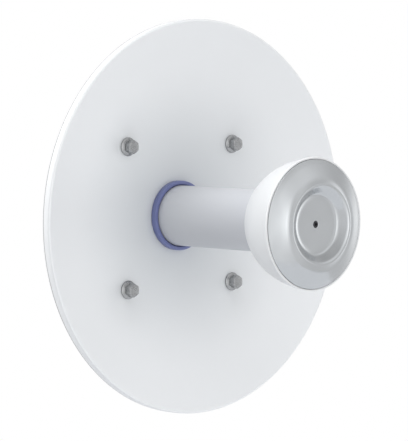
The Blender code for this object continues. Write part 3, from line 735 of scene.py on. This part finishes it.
def pressed(radius, angle, behind):
    """The bowl's forward distance on one circle, flat round each bolt.

    On the flat the bowl loses its height over the seat. Outside it loses what the
    nearest point of the flat's edge loses, times a share that fades to nothing.
    """
    across = radius * np.cos(angle)
    up = radius * np.sin(angle)
    forward = bowl_forward(radius) - behind
    for side, height in CORNERS:
        x = across - side * BOLT_OFFSET
        z = up - height * BOLT_OFFSET
        away = np.maximum(np.hypot(x, z), 0.001 * MM)
        near = np.minimum(SEAT_FLAT / away, 1)
        edge = np.hypot(side * BOLT_OFFSET + x * near, height * BOLT_OFFSET + z * near)
        fade = 1 - smooth_step(away, SEAT_FLAT, SEAT_BLEND)
        forward = forward - (bowl_forward(edge) - SEAT_FORWARD) * fade
    return forward


def boss_grid(side, height):
    """Thick rear of a seat: a short cylinder with a soft rear edge."""
    profile = [(0, -SHEET / 2), (SEAT_BOSS, -SHEET / 2)]
    profile += fillet((SEAT_BOSS - MM, -SEAT_DEPTH + MM), MM, 0, -90, 6)
    profile += [(0, -SEAT_DEPTH)]
    place = (side * BOLT_OFFSET, forward_to_y(SEAT_FORWARD), height * BOLT_OFFSET)
    return turned(profile, 96, place, FRONT), False


class ANTENNA_OT_reflector(bpy.types.Operator):
    """Builds the round sheet with its rolled rim, pressed seats and rear bosses"""

    bl_idname = "antenna.reflector"
    bl_label = "Reflector"

    def execute(self, context):
        settings = context.scene.antenna_reflector
        grids = [sheet_grid(settings)]
        grids += [boss_grid(side, height) for side, height in CORNERS]
        paint = dish_paint(settings)
        skin("reflector_sheet", grids, paint, "dish_reflector", 50)
        return {"FINISHED"}


def tube_profile():
    """Profile of a straight tube with a rounded front edge."""
    radius = TUBE_HIGH.x
    front = RIM_Y - TUBE_LOW.y
    rear = RIM_Y - TUBE_HIGH.y
    profile = [(0, front), (radius - MM, front)]
    profile += fillet((radius - MM, front - MM), MM, 80, 0, 6)
    profile += [(radius, height) for height in np.linspace(front - 5 * MM, rear, 30)]
    return profile + [(0, rear)]


def ring_profile():
    """Profile of a band with a rounded outer edge that slopes down to the tube inside."""
    low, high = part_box("feed_ring")
    outer = high.x
    foot = RIM_Y - high.y
    top = RIM_Y - low.y
    inner = TUBE_HIGH.x + 0.15 * MM
    soft = 1.1 * MM
    profile = fillet((outer - soft, top - soft), soft, 90, 0, 10)
    profile += [(outer, foot + 0.3 * MM), (outer - 0.3 * MM, foot), (inner, foot)]
    profile += [(inner, top - 1.5 * MM), (inner + 0.9 * MM, top - 0.25 * MM)]
    return profile + [(inner + 1.3 * MM, top)]


class ANTENNA_OT_feed(bpy.types.Operator):
    """Builds the feed tube and the blue ring at its foot"""

    bl_idname = "antenna.feed"
    bl_label = "Feed tube and ring"

    def execute(self, context):
        settings = context.scene.antenna_feed
        steps = settings.segments
        tube = [(turned(tube_profile(), steps, (0, RIM_Y, 0), FRONT), False)]
        skin("feed_tube_surface", tube, tube_plastic(settings), "feed_tube")
        ring = [(turned(ring_profile(), steps, (0, RIM_Y, 0), FRONT), True)]
        skin("foot_ring_surface", ring, ring_plastic(settings), "feed_ring", 50)
        return {"FINISHED"}


def outer_radius(depth):
    """A superellipse quarter from the shoulder back towards the axis.

    In front of the shoulder it widens along a cubic to the lip.
    """
    share = np.clip((depth - CUP_SHOULDER_DEPTH) / (CUP_DEPTH - CUP_SHOULDER_DEPTH), 0, 1)
    body = CUP_BODY_RADIUS * (1 - share ** CUP_CURVE) ** (1 / CUP_CURVE)
    lip = 1 - smooth_step(depth, CUP_LIP_DEPTH, CUP_LIP_DEPTH + 2.5 * MM)
    return body + (CUP_RADIUS - CUP_BODY_RADIUS) * lip


class ANTENNA_OT_cup(bpy.types.Operator):
    """Builds the bowl-shaped housing round the front of the tube"""

    bl_idname = "antenna.cup"
    bl_label = "Cup housing"

    def execute(self, context):
        settings = context.scene.antenna_feed
        lip = 0.9 * MM
        edge = PLATE_RADIUS + GAP
        profile = fillet((edge + lip * 0.7, -lip * 0.7), lip * 0.7, 180, 90, 6)
        profile += fillet((CUP_RADIUS - lip, -lip), lip, 80, 0, 8)
        depths = CUP_LIP_DEPTH + (NECK_DEPTH - CUP_LIP_DEPTH - MM) * np.linspace(0, 1, 90) ** 1.5
        profile += [(outer_radius(depth), -depth) for depth in depths]
        neck = TUBE_HIGH.x + GAP / 2
        profile += [(TUBE_HIGH.x + 1.6 * MM, -NECK_DEPTH + 0.2 * MM), (neck, -NECK_DEPTH)]
        profile += [(neck, -CUP_FLOOR_DEPTH)]
        inner = np.linspace(CUP_FLOOR_DEPTH, 7 * MM, 24)
        profile += [(outer_radius(depth) - CUP_WALL, -depth) for depth in inner]
        ledge = PLATE_SHEET + GAP
        profile += [(profile[-1][0], -ledge), (edge, -ledge)]
        cup = turned(profile, settings.segments, (0, forward_to_y(PLATE_FORWARD), 0), FRONT)
        plastic = cup_plastic(settings)
        skin("cup_surface", [(cup, True)], plastic, "cup_housing", 50)
        return {"FINISHED"}


def relief(radius, crest):
    """Height of the plate: the sum of its slope from the middle outwards. The slope goes
    from each band to the next over a short blend. The rise to the crest and the fall to
    the rim are each scaled, so that the middle, the crest and the rim lie where they do."""
    bands = [
        (26.5, 3.5, 0.11), (30.6, 2.8, 0.51), (36.2, 2.5, -0.04), (38.4, 1.2, -0.27),
        (40.6, 1.1, -0.31), (42.3, 0.8, -0.23), (45.8, 1.5, -0.10), (48.6, 1.6, -0.10),
        (54, 5, -0.06), (61, 3, -0.08), (65, 1, -0.06),
    ]
    fine = np.linspace(0, PLATE_RADIUS, PLATE_STEPS + 1)
    slope = np.zeros_like(fine)
    for middle, half, change in bands:
        slope += change * smooth_step(fine, (middle - half) * MM, (middle + half) * MM)
    steps = (slope[1:] + slope[:-1]) / 2 * np.diff(fine)
    height = np.concatenate([[0], np.cumsum(steps)])
    top = height.argmax()
    rise = PLATE_MIDDLE + height / height[top] * (crest - PLATE_MIDDLE)
    fall = (height - height[-1]) / (height[top] - height[-1]) * crest
    return np.interp(radius, fine, np.where(fine < fine[top], rise, fall))


def plate_screw():
    """Flat head with a hexagonal socket, whose side is found for each angle."""
    angle = around(96)
    socket = hexagon(3 * MM, angle)
    depth = 1.4 * MM
    soft = 0.25 * MM
    shank = 2 * MM
    length = 8 * MM
    rows = [
        (0, -depth),
        (socket * 0.97, -depth),
        (socket, -0.1 * MM),
        (socket + 0.12 * MM, 0),
        (SCREW_HEAD - soft, 0),
        (SCREW_HEAD, -soft),
        (shank, -SCREW_CONE),
        (shank, -length),
        (0, -length),
    ]
    grid = rings(rows, angle, (0, forward_to_y(PLATE_FORWARD + PLATE_MIDDLE), 0), FRONT)
    steel = grained("dark_screw_steel", (0.06, 0.06, 0.065))
    skin("plate_screw_surface", [(grid, False)], steel, "plate_screw")


class ANTENNA_OT_plate(bpy.types.Operator):
    """Builds the pressed metal plate and its countersunk screw"""

    bl_idname = "antenna.plate"
    bl_label = "Metal plate and screw"

    def execute(self, context):
        settings = context.scene.antenna_plate
        mouth = SCREW_HEAD + 0.35 * MM
        hole = mouth - SCREW_CONE
        edge = 0.7 * MM
        radii = np.linspace(mouth, PLATE_RADIUS - edge, 240)
        heights = relief(radii, settings.crest)
        front = list(zip(radii, heights))
        rim = fillet((PLATE_RADIUS - edge, heights[-1] - edge), edge, 55, 0, 5)
        rear = [(r, h - PLATE_SHEET) for r, h in front[:4:-6]]
        profile = front + rim + [(PLATE_RADIUS, -PLATE_SHEET)] + rear
        profile += [(hole, PLATE_MIDDLE - PLATE_SHEET), (hole, PLATE_MIDDLE - SCREW_CONE)]
        plate = turned(profile, 256, (0, forward_to_y(PLATE_FORWARD), 0), FRONT)
        metal = plate_metal(settings)
        skin("pressed_plate", [(plate, True)], metal, "subreflector_plate", 50)
        plate_screw()
        return {"FINISHED"}


def thread_cut(length, angle, pitch):
    """Depth of a thread: a triangle wave of length and angle, so that it winds."""
    return THREAD_DEPTH * pitch * np.abs(2 * ((length / pitch - angle / (2 * np.pi)) % 1) - 1)


def threaded(size, low, high, angle):
    """Rows of a shank that loses the thread's depth, which fades out at both ends."""
    radius, _, pitch = size
    steps = max(2, int(abs(high - low) / pitch * THREAD_ROWS))
    height = np.linspace(high, low, steps)[:, None]
    fade = smooth_step(height, low, low + pitch) * smooth_step(-height, -high, -high + pitch)
    end = 0.4 * pitch * (1 - smooth_step(height, low, low + 0.8 * pitch))
    return zip(radius - SLACK - thread_cut(height, angle, pitch) * fade - end, height)


def bolt_grid(size, flange, head, length, thread, place, direction):
    """Hex flange bolt. Rows run from the head's top down its sides, over the flange's
    cone, under it to the shank, down the plain and the threaded part to the end."""
    shank, flats, _ = size
    radius, height = flange
    angle = around(bpy.context.scene.antenna_fasteners.segments)
    side = hexagon(flats, angle)
    shares = (0, 0.5, 0.8, 0.88, 0.92, 0.96, 0.985, 1.0)
    face = hexagon_face(flats, angle, shares, 0.96, CHAMFER)
    soft = 0.15 * MM
    rows = [
        (out, height + head - drop - soft * share ** 8)
        for share, (out, drop) in zip(shares, face)
    ]
    edge = rows[-1][1]
    slope = 0.45 * height
    dome = 0.6 * MM
    lip = 0.25 * MM
    rows += [
        (side, (edge + height + soft) / 2),
        (side, height + soft),
        (side + lip, height - 0.12 * MM),
        (radius - dome, height - slope),
        (radius - 0.25 * dome, height - slope - 0.25 * dome),
        (radius, height - slope - 0.8 * dome),
        (radius, lip),
        (radius - lip, 0),
        (shank - SLACK, 0),
        (shank - SLACK, -length + thread + 0.3 * MM),
        *threaded(size, -length, -length + thread, angle),
        (0, -length),
    ]
    return rings(rows, angle, place, direction)


def nut_grid(size, height, place, direction):
    """Hex nut chamfered on both faces, with a countersunk bore; a closed ring of rows."""
    shank, flats, _ = size
    angle = around(bpy.context.scene.antenna_fasteners.segments)
    bore = shank + GAP
    lead = 0.6 * MM
    shares = (0.8, 0.9, 0.95, 0.98, 1.0)
    face = hexagon_face(flats, angle, shares, 0.95, CHAMFER, bore + 1.2 * lead)
    rows = [(bore, height - lead), (bore + lead, height)]
    rows += [(out, height - drop) for out, drop in face] + face[::-1]
    rows += [(bore + lead, 0), (bore, lead)]
    return rings(rows, angle, place, direction)


def zinc_piece(node, grid, ring=False, name=None):
    """Makes a zinc-plated piece from the grid of its surface."""
    zinc = grained("zinc_plated_steel", bpy.context.scene.antenna_fasteners.zinc)
    skin(name or node + "_surface", [(grid, ring)], zinc, node)


def spacer_grid(length, radius, place):
    """A tube with small chamfers at both ends."""
    bore = M8[0] + GAP
    soft = 0.5 * MM
    profile = [
        (bore, 0), (radius - soft, 0), (radius, soft), (radius, length - soft),
        (radius - soft, length), (bore, length),
    ]
    return turned(profile, 96, place, REAR)


class ANTENNA_OT_dish_bolts(bpy.types.Operator):
    """Builds the four flange bolts of the dish with their spacers and nuts"""

    bl_idname = "antenna.dish_bolts"
    bl_label = "Dish bolts, spacers and nuts"

    def execute(self, context):
        flange = (9.9 * MM, 3 * MM)
        seat = forward_to_y(SEAT_FORWARD + GAP)
        for index, (side, up) in enumerate(CORNERS, 1):
            x = side * BOLT_OFFSET
            z = up * BOLT_OFFSET
            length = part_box(f"dish_bolt_{index}")[1].y - seat
            bolt = bolt_grid(M8, flange, 7.5 * MM, length, 14 * MM, (x, seat, z), FRONT)
            low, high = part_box(f"dish_nut_{index}")
            nut = nut_grid(M8, high.y - low.y, (x, low.y, z), REAR)
            low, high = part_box(f"dish_spacer_{index}")
            tube = spacer_grid(high.y - low.y, (high.x - low.x) / 2, (x, low.y, z))
            for kind, grid in {"bolt": bolt, "nut": nut, "spacer": tube}.items():
                name = f"dish_{kind}_surface_{index}"
                zinc_piece(f"dish_{kind}_{index}", grid, kind != "bolt", name)
        return {"FINISHED"}


def rear_bolt(node, flange, thread):
    """An M6 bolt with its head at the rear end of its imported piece."""
    low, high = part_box(node)
    x, _, z = (low + high) / 2
    head = 4 * MM
    seat = high.y - flange[1] - head
    bolt = bolt_grid(M6, flange, head, seat - low.y, thread, (x, seat, z), REAR)
    zinc_piece(node, bolt)


def tilt_pair(bolt_node, nut_node, sign):
    """A bolt with its head outside the cheek and its nut inside the ear."""
    low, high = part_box(bolt_node)
    _, y, z = (low + high) / 2
    inner, outer = sorted((abs(low.x), abs(high.x)))
    flange = (8.9 * MM, 1.8 * MM)
    head = 5.5 * MM
    seat = outer - flange[1] - head
    place = (sign * seat, y, z)
    bolt = bolt_grid(M8, flange, head, seat - inner, 10 * MM, place, (sign, 0, 0))
    zinc_piece(bolt_node, bolt)
    low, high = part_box(nut_node)
    face = max(abs(low.x), abs(high.x))
    nut = nut_grid(M8, high.x - low.x, (sign * face, y, z), (-sign, 0, 0))
    zinc_piece(nut_node, nut, True)


class ANTENNA_OT_bracket_bolts(bpy.types.Operator):
    """Builds the bolts and nuts of the yoke, the tilt axis and the earthing screw"""

    bl_idname = "antenna.bracket_bolts"
    bl_label = "Bracket bolts and nuts"

    def execute(self, context):
        for index in range(1, 5):
            rear_bolt(f"yoke_bolt_{index}", (6.5 * MM, 1.5 * MM), 5 * MM)
        rear_bolt("ground_screw", (8 * MM, 2 * MM), 4 * MM)
        for spot in ("pivot", "lock"):
            for side, sign in SIDES.items():
                tilt_pair(f"{spot}_bolt_{side}", f"{spot}_nut_{side}", sign)
        return {"FINISHED"}


def rod_grid(low, high, z):
    """A circle carried along a leg, a half ring and the other leg, with a pole at either
    end. The radius loses the thread's depth along the threaded ends."""
    radius, _, pitch = M8
    reach = high.x - radius
    bend_y = high.y - radius - reach
    leg = bend_y - low.y
    arc = np.pi * reach
    total = 2 * leg + arc
    thread = 30 * MM
    fine = int(thread / pitch * THREAD_ROWS)
    length = np.concatenate([
        [0],
        np.linspace(0, thread, fine, endpoint=False),
        np.linspace(thread, total - thread, 90, endpoint=False),
        np.linspace(total - thread, total, fine),
        [total],
    ])[:, None]
    angle = around(40)
    end = np.minimum(length, total - length)
    fade = smooth_step(-end, -thread, -thread + 2 * pitch)
    tip = 0.5 * pitch * (1 - smooth_step(end, 0, 0.8 * pitch))
    size = radius - SLACK - thread_cut(length, angle, pitch) * fade - tip
    size[[0, -1]] = 0
    turn = np.clip((length - leg) / reach, 0, np.pi)
    straight = np.minimum(length, leg) - leg - np.maximum(length - leg - arc, 0)
    out = reach + size * np.cos(angle)
    y = bend_y + out * np.sin(turn) + straight
    return np.stack([out * np.cos(turn), y, z + size * np.sin(angle)], -1)


class ANTENNA_OT_u_bolts(bpy.types.Operator):
    """Builds the U-bolts that clamp round the pole, with their nuts"""

    bl_idname = "antenna.u_bolts"
    bl_label = "U-bolts"

    def execute(self, context):
        for level in ("upper", "lower"):
            low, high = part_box(f"u_bolt_{level}")
            z = (low.z + high.z) / 2
            rod = rod_grid(low, high, z)
            zinc_piece(f"u_bolt_{level}", rod, name=f"u_bolt_surface_{level}")
            for side in SIDES:
                node = f"u_bolt_nut_{level}_{side}"
                low_nut, high_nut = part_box(node)
                place = ((low_nut.x + high_nut.x) / 2, high_nut.y, z)
                zinc_piece(node, nut_grid(M8, high_nut.y - low_nut.y, place, FRONT), True)
        return {"FINISHED"}


def housing_grids():
    """A turned drum with three shallow grooves, and the round boss of the inlet."""
    low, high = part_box("tail_housing")
    radius = high.x
    front = RIM_Y - low.y
    rear = RIM_Y - high.y
    groove = 0.8 * MM
    corners = [(0, front), (radius, front)]
    for place in (9, 13, 17):
        start = front - place * MM
        corners += [
            (radius, start), (radius - groove, start - 0.5 * MM),
            (radius - groove, start - 1.3 * MM), (radius, start - 1.8 * MM),
        ]
    corners += [(radius, rear), (0, rear)]
    drum = turned(softened(corners, 0.8 * MM), 192, (0, RIM_Y, 0), FRONT)
    boss = 13 * MM
    behind = 68 * MM
    depth = -low.z
    corners = [(0, depth - 22 * MM), (boss + 1.5 * MM, depth - 10 * MM)]
    corners += [(boss, depth - 4 * MM), (boss, depth), (0, depth)]
    inlet = turned(softened(corners, MM), 96, (0, RIM_Y + behind, 0), DOWN)
    return [(drum, False), (inlet, False)]


def cover_grid():
    """A cap whose rim has shallow finger flutes: the radius follows a cosine."""
    low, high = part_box("tail_cover")
    radius = high.x
    end = high.y - low.y
    step = end - 0.6 * MM
    soft = 3.5 * MM
    profile = [(0, 0), (radius - 0.4 * MM, 0), (radius, 0.4 * MM)]
    profile += [(radius, height) for height in np.linspace(1.2, 5.5, 8) * MM]
    profile += fillet((radius - soft, end - soft), soft, 0, 90, 12)
    profile += [(radius * 0.62, end), (radius * 0.6, step), (0, step)]
    angle = around(360)
    wave = 0.45 * MM * (0.5 - 0.5 * np.cos(36 * angle))
    rows = []
    for out, height in profile:
        rim = smooth_step(height, MM, 2 * MM) * smooth_step(-height, -9 * MM, -7 * MM)
        edge = smooth_step(out, radius - soft, radius - soft / 2)
        rows.append((out - wave * rim * edge, height))
    return rings(rows, angle, (0, low.y, 0), REAR)


def gland_box(node):
    """Radius and length of a piece of the gland, and the middle of its upper end."""
    low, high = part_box(node)
    place = (0, (low.y + high.y) / 2, high.z)
    return (high.x - low.x) / 2, high.z - low.z, place


def collar_grid():
    """Hexagonal collar of the cable inlet, with a round spigot under it."""
    _, length, place = gland_box("gland_body")
    collar = 5.7 * MM
    angle = around(144)
    face = hexagon_face(22 * MM, angle, (0.8, 0.95, 1.0), 0.97, 0.5)
    rows = [(0, 0)] + face + [(out, collar - drop) for out, drop in face[::-1]]
    rows += [(GLAND_SPIGOT, collar), (GLAND_SPIGOT, length), (0, length)]
    return rings(rows, angle, place, DOWN)


def dome_grid():
    """Ribbed dome nut of the cable inlet: the ribs are a cosine to a power."""
    radius, length, place = gland_box("gland_nut")
    bore = GLAND_SPIGOT + GAP
    mouth = 6.4 * MM
    taper = 4 * MM
    corners = [
        (bore, 0), (radius, 0), (radius, length - taper), (radius - taper / 2, length),
        (mouth, length), (mouth, length - taper + MM), (bore, length - taper),
    ]
    angle = around(144)
    ribs = 0.5 * MM * (0.5 - 0.5 * np.cos(12 * angle)) ** 3
    rows = [
        (out - ribs * smooth_step(out, radius - MM, radius - 0.3 * MM), height)
        for out, height in softened(corners + corners[:1], 0.8 * MM)[:-1]
    ]
    return rings(rows, angle, place, DOWN)


def seal_grid():
    """Rubber seal round the cable's hole."""
    radius, length, place = gland_box("gland_seal")
    hole = 3.5 * MM
    corners = [(hole, 0), (radius, 0), (radius, length), (hole, length)]
    profile = softened(corners + corners[:2], 0.7 * MM)[1:-1]
    return turned(profile, 96, place, DOWN)


class ANTENNA_OT_tail(bpy.types.Operator):
    """Builds the rear housing of the radio, its cover and the cable gland"""

    bl_idname = "antenna.tail"
    bl_label = "Radio tail and gland"

    def execute(self, context):
        grey = grained("grey_tail_plastic", context.scene.antenna_bracket.tail_colour)
        black = grained("black_gland_plastic", (0.025, 0.025, 0.028))
        rubber = grained("black_seal_rubber", (0.018, 0.018, 0.018))
        skin("tail_surface", housing_grids(), grey, "tail_housing")
        for node, grid, ring, material, slot, sharp in (
            ("tail_cover", cover_grid(), False, grey, "grey_plastic", 50),
            ("gland_body", collar_grid(), False, black, "black_plastic", 35),
            ("gland_nut", dome_grid(), True, black, "black_plastic", 50),
            ("gland_seal", seal_grid(), True, rubber, "black_rubber", 50),
        ):
            skin(node + "_surface", [(grid, ring)], material, node, sharp)
        return {"FINISHED"}


class ANTENNA_OT_bracket(bpy.types.Operator):
    """Rounds the edges of the steel sheets: back plate, tilt yoke and pole bracket"""

    bl_idname = "antenna.bracket"
    bl_label = "Steel sheets"

    def execute(self, context):
        settings = context.scene.antenna_bracket
        steel = galvanised(settings)
        for node in ("back_plate", "tilt_yoke", "pole_bracket"):
            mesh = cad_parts[node].data.copy()
            mesh.name = node + "_surface"
            merge_doubles(mesh, 0.005 * MM, flatten=True)
            piece = finish_piece(node + "_surface", mesh, steel, node, 40)
            bevel = piece.modifiers.new("edges", "BEVEL")
            bevel.width = settings.bevel
            bevel.segments = 3
            bevel.limit_method = "ANGLE"
            bevel.angle_limit = math.radians(50)
            bevel.harden_normals = True
        return {"FINISHED"}


# Stage


def toward(azimuth, elevation):
    """Direction at an azimuth from the dish's axis and at an elevation, both in degrees."""
    turn = math.radians(azimuth)
    rise = math.radians(elevation)
    return Vector((
        math.sin(turn) * math.cos(rise), -math.cos(turn) * math.cos(rise), math.sin(rise)
    ))


def cleared(owner):
    """The empty node tree of a material or a world."""
    owner.use_nodes = True
    owner.node_tree.nodes.clear()
    return owner.node_tree


def mixed(tree, share, first, second):
    """The mix of two shaders, with the share of the second."""
    return add_node(tree, "ShaderNodeMixShader", enumerate((share, first, second))).outputs[0]


def seen_white(tree, kind, light):
    """A shader of this kind that camera rays see as white, and other rays as the light."""
    white = add_node(tree, kind, {"Color": WHITE, "Strength": 1.0}).outputs[0]
    camera_ray = add_node(tree, "ShaderNodeLightPath").outputs["Is Camera Ray"]
    return mixed(tree, camera_ray, light, white)


def place_camera():
    """Places the camera so that the rim's centre falls on its pixel of the photograph."""
    forward = -toward(CAMERA_AZIMUTH, CAMERA_ELEVATION)
    right = forward.cross(Vector(UP)).normalized()
    up = right.cross(forward)
    scale = CAMERA_DISTANCE / FOCAL_PIXELS
    across = (RIM_CENTRE_PIXEL[0] - PHOTO_WIDTH / 2) * scale
    above = (PHOTO_HEIGHT / 2 - RIM_CENTRE_PIXEL[1]) * scale
    data = bpy.data.cameras.new("photo_camera")
    data.sensor_width = SENSOR
    data.lens = FOCAL_PIXELS * SENSOR / PHOTO_HEIGHT
    data.clip_start = 0.1
    data.clip_end = 200
    camera = bpy.data.objects.new("photo_camera", data)
    rim = Vector((0, RIM_Y, 0))
    camera.location = rim - right * across - up * above - forward * CAMERA_DISTANCE
    camera.rotation_mode = "QUATERNION"
    camera.rotation_quaternion = forward.to_track_quat("-Z", "Y")
    bpy.context.scene.collection.objects.link(camera)
    bpy.context.scene.camera = camera


def lay_floor(settings):
    """A large disc: rings of points round the foot of the stage. It is clear from below."""
    place = (0, 0, -settings.floor_drop)
    grid = turned([(radius, 0) for radius in FLOOR_RINGS], 96, place, UP)
    quads = grid_faces(*grid.shape[:2], False)
    mesh = grid_mesh("studio_floor", grid.reshape(-1, 3), quads, MM)
    material = bpy.data.materials.new("white_floor")
    tree = cleared(material)
    pale = add_node(tree, "ShaderNodeBsdfDiffuse", {"Color": FLOOR_COLOUR}).outputs[0]
    shine = add_node(tree, "ShaderNodeEmission", {"Strength": settings.floor_light}).outputs[0]
    light = add_node(tree, "ShaderNodeAddShader", {0: pale, 1: shine}).outputs[0]
    above = seen_white(tree, "ShaderNodeEmission", light)
    below = add_node(tree, "ShaderNodeBsdfTransparent").outputs[0]
    side = add_node(tree, "ShaderNodeNewGeometry").outputs["Backfacing"]
    add_node(tree, "ShaderNodeOutputMaterial", {0: mixed(tree, side, above, below)})
    mesh.materials.append(material)
    floor = bpy.data.objects.new("studio_floor", mesh)
    bpy.context.scene.collection.objects.link(floor)


def glow(tree, ray, light):
    """Soft light: its strength times e to minus half the squared distance of the ray's
    end from the light's middle, which is measured in spreads across and upwards. A
    power of the squared distance makes it flat in the middle."""
    azimuth, elevation, across, upwards, strength, flatness = light
    away = vector_node(tree, "SUBTRACT", ray, toward(azimuth, elevation))
    spreads = [1 / math.radians(spread) for spread in (across, across, upwards)]
    measured = vector_node(tree, "MULTIPLY", away, spreads)
    square = vector_node(tree, "DOT_PRODUCT", measured, measured)
    flatter = math_node(tree, "POWER", square, flatness)
    bell = math_node(tree, "EXPONENT", math_node(tree, "MULTIPLY", flatter, -0.5))
    return math_node(tree, "MULTIPLY", bell, strength)


def light_world(settings):
    """Soft studio light from all round; the backdrop shows white to the camera."""
    world = bpy.data.worlds.new("studio")
    tree = cleared(world)
    ray = add_node(tree, "ShaderNodeTexCoord").outputs["Generated"]
    low = math_node(tree, "MULTIPLY_ADD", coordinate(tree, ray, "Z"), -BAND_FADE, 1.0)
    low.node.use_clamp = True
    total = math_node(tree, "MULTIPLY_ADD", low, settings.band, settings.even)
    for light in GLOWS.values():
        total = math_node(tree, "ADD", glow(tree, ray, light), total)
    inputs = {"Color": STUDIO_TINT, "Strength": total}
    soft = add_node(tree, "ShaderNodeBackground", inputs).outputs[0]
    shown = seen_white(tree, "ShaderNodeBackground", soft)
    add_node(tree, "ShaderNodeOutputWorld", {0: shown})
    bpy.context.scene.world = world


class ANTENNA_OT_stage(bpy.types.Operator):
    """Sets the camera, the pale floor and the soft studio light"""

    bl_idname = "antenna.stage"
    bl_label = "Stage"

    def execute(self, context):
        settings = context.scene.antenna_stage
        context.scene.view_settings.view_transform = "Standard"
        context.scene.view_settings.look = "None"
        place_camera()
        lay_floor(settings)
        light_world(settings)
        return {"FINISHED"}


OPERATORS = [
    ANTENNA_OT_stage,
    ANTENNA_OT_reflector,
    ANTENNA_OT_feed,
    ANTENNA_OT_cup,
    ANTENNA_OT_plate,
    ANTENNA_OT_dish_bolts,
    ANTENNA_OT_bracket_bolts,
    ANTENNA_OT_u_bolts,
    ANTENNA_OT_tail,
    ANTENNA_OT_bracket,
]


class ANTENNA_PT_panel(bpy.types.Panel):
    """Lists the pieces of the antenna"""

    bl_idname = "ANTENNA_PT_panel"
    bl_label = "Dish antenna"
    bl_space_type = "VIEW_3D"
    bl_region_type = "UI"
    bl_category = "Antenna"

    def draw(self, context):
        for operator in OPERATORS:
            self.layout.operator(operator.bl_idname)


CLASSES = list(SETTINGS.values()) + OPERATORS + [ANTENNA_PT_panel]


def register():
    for item in CLASSES:
        bpy.utils.register_class(item)
    for name, group in SETTINGS.items():
        setattr(bpy.types.Scene, name, PointerProperty(type=group))


def unregister():
    for name in SETTINGS:
        delattr(bpy.types.Scene, name)
    for item in reversed(CLASSES):
        bpy.utils.unregister_class(item)


def main():
    """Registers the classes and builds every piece."""
    register()
    for operator in OPERATORS:
        group, name = operator.bl_idname.split(".")
        getattr(getattr(bpy.ops, group), name)()


if __name__ == "__main__":
    main()
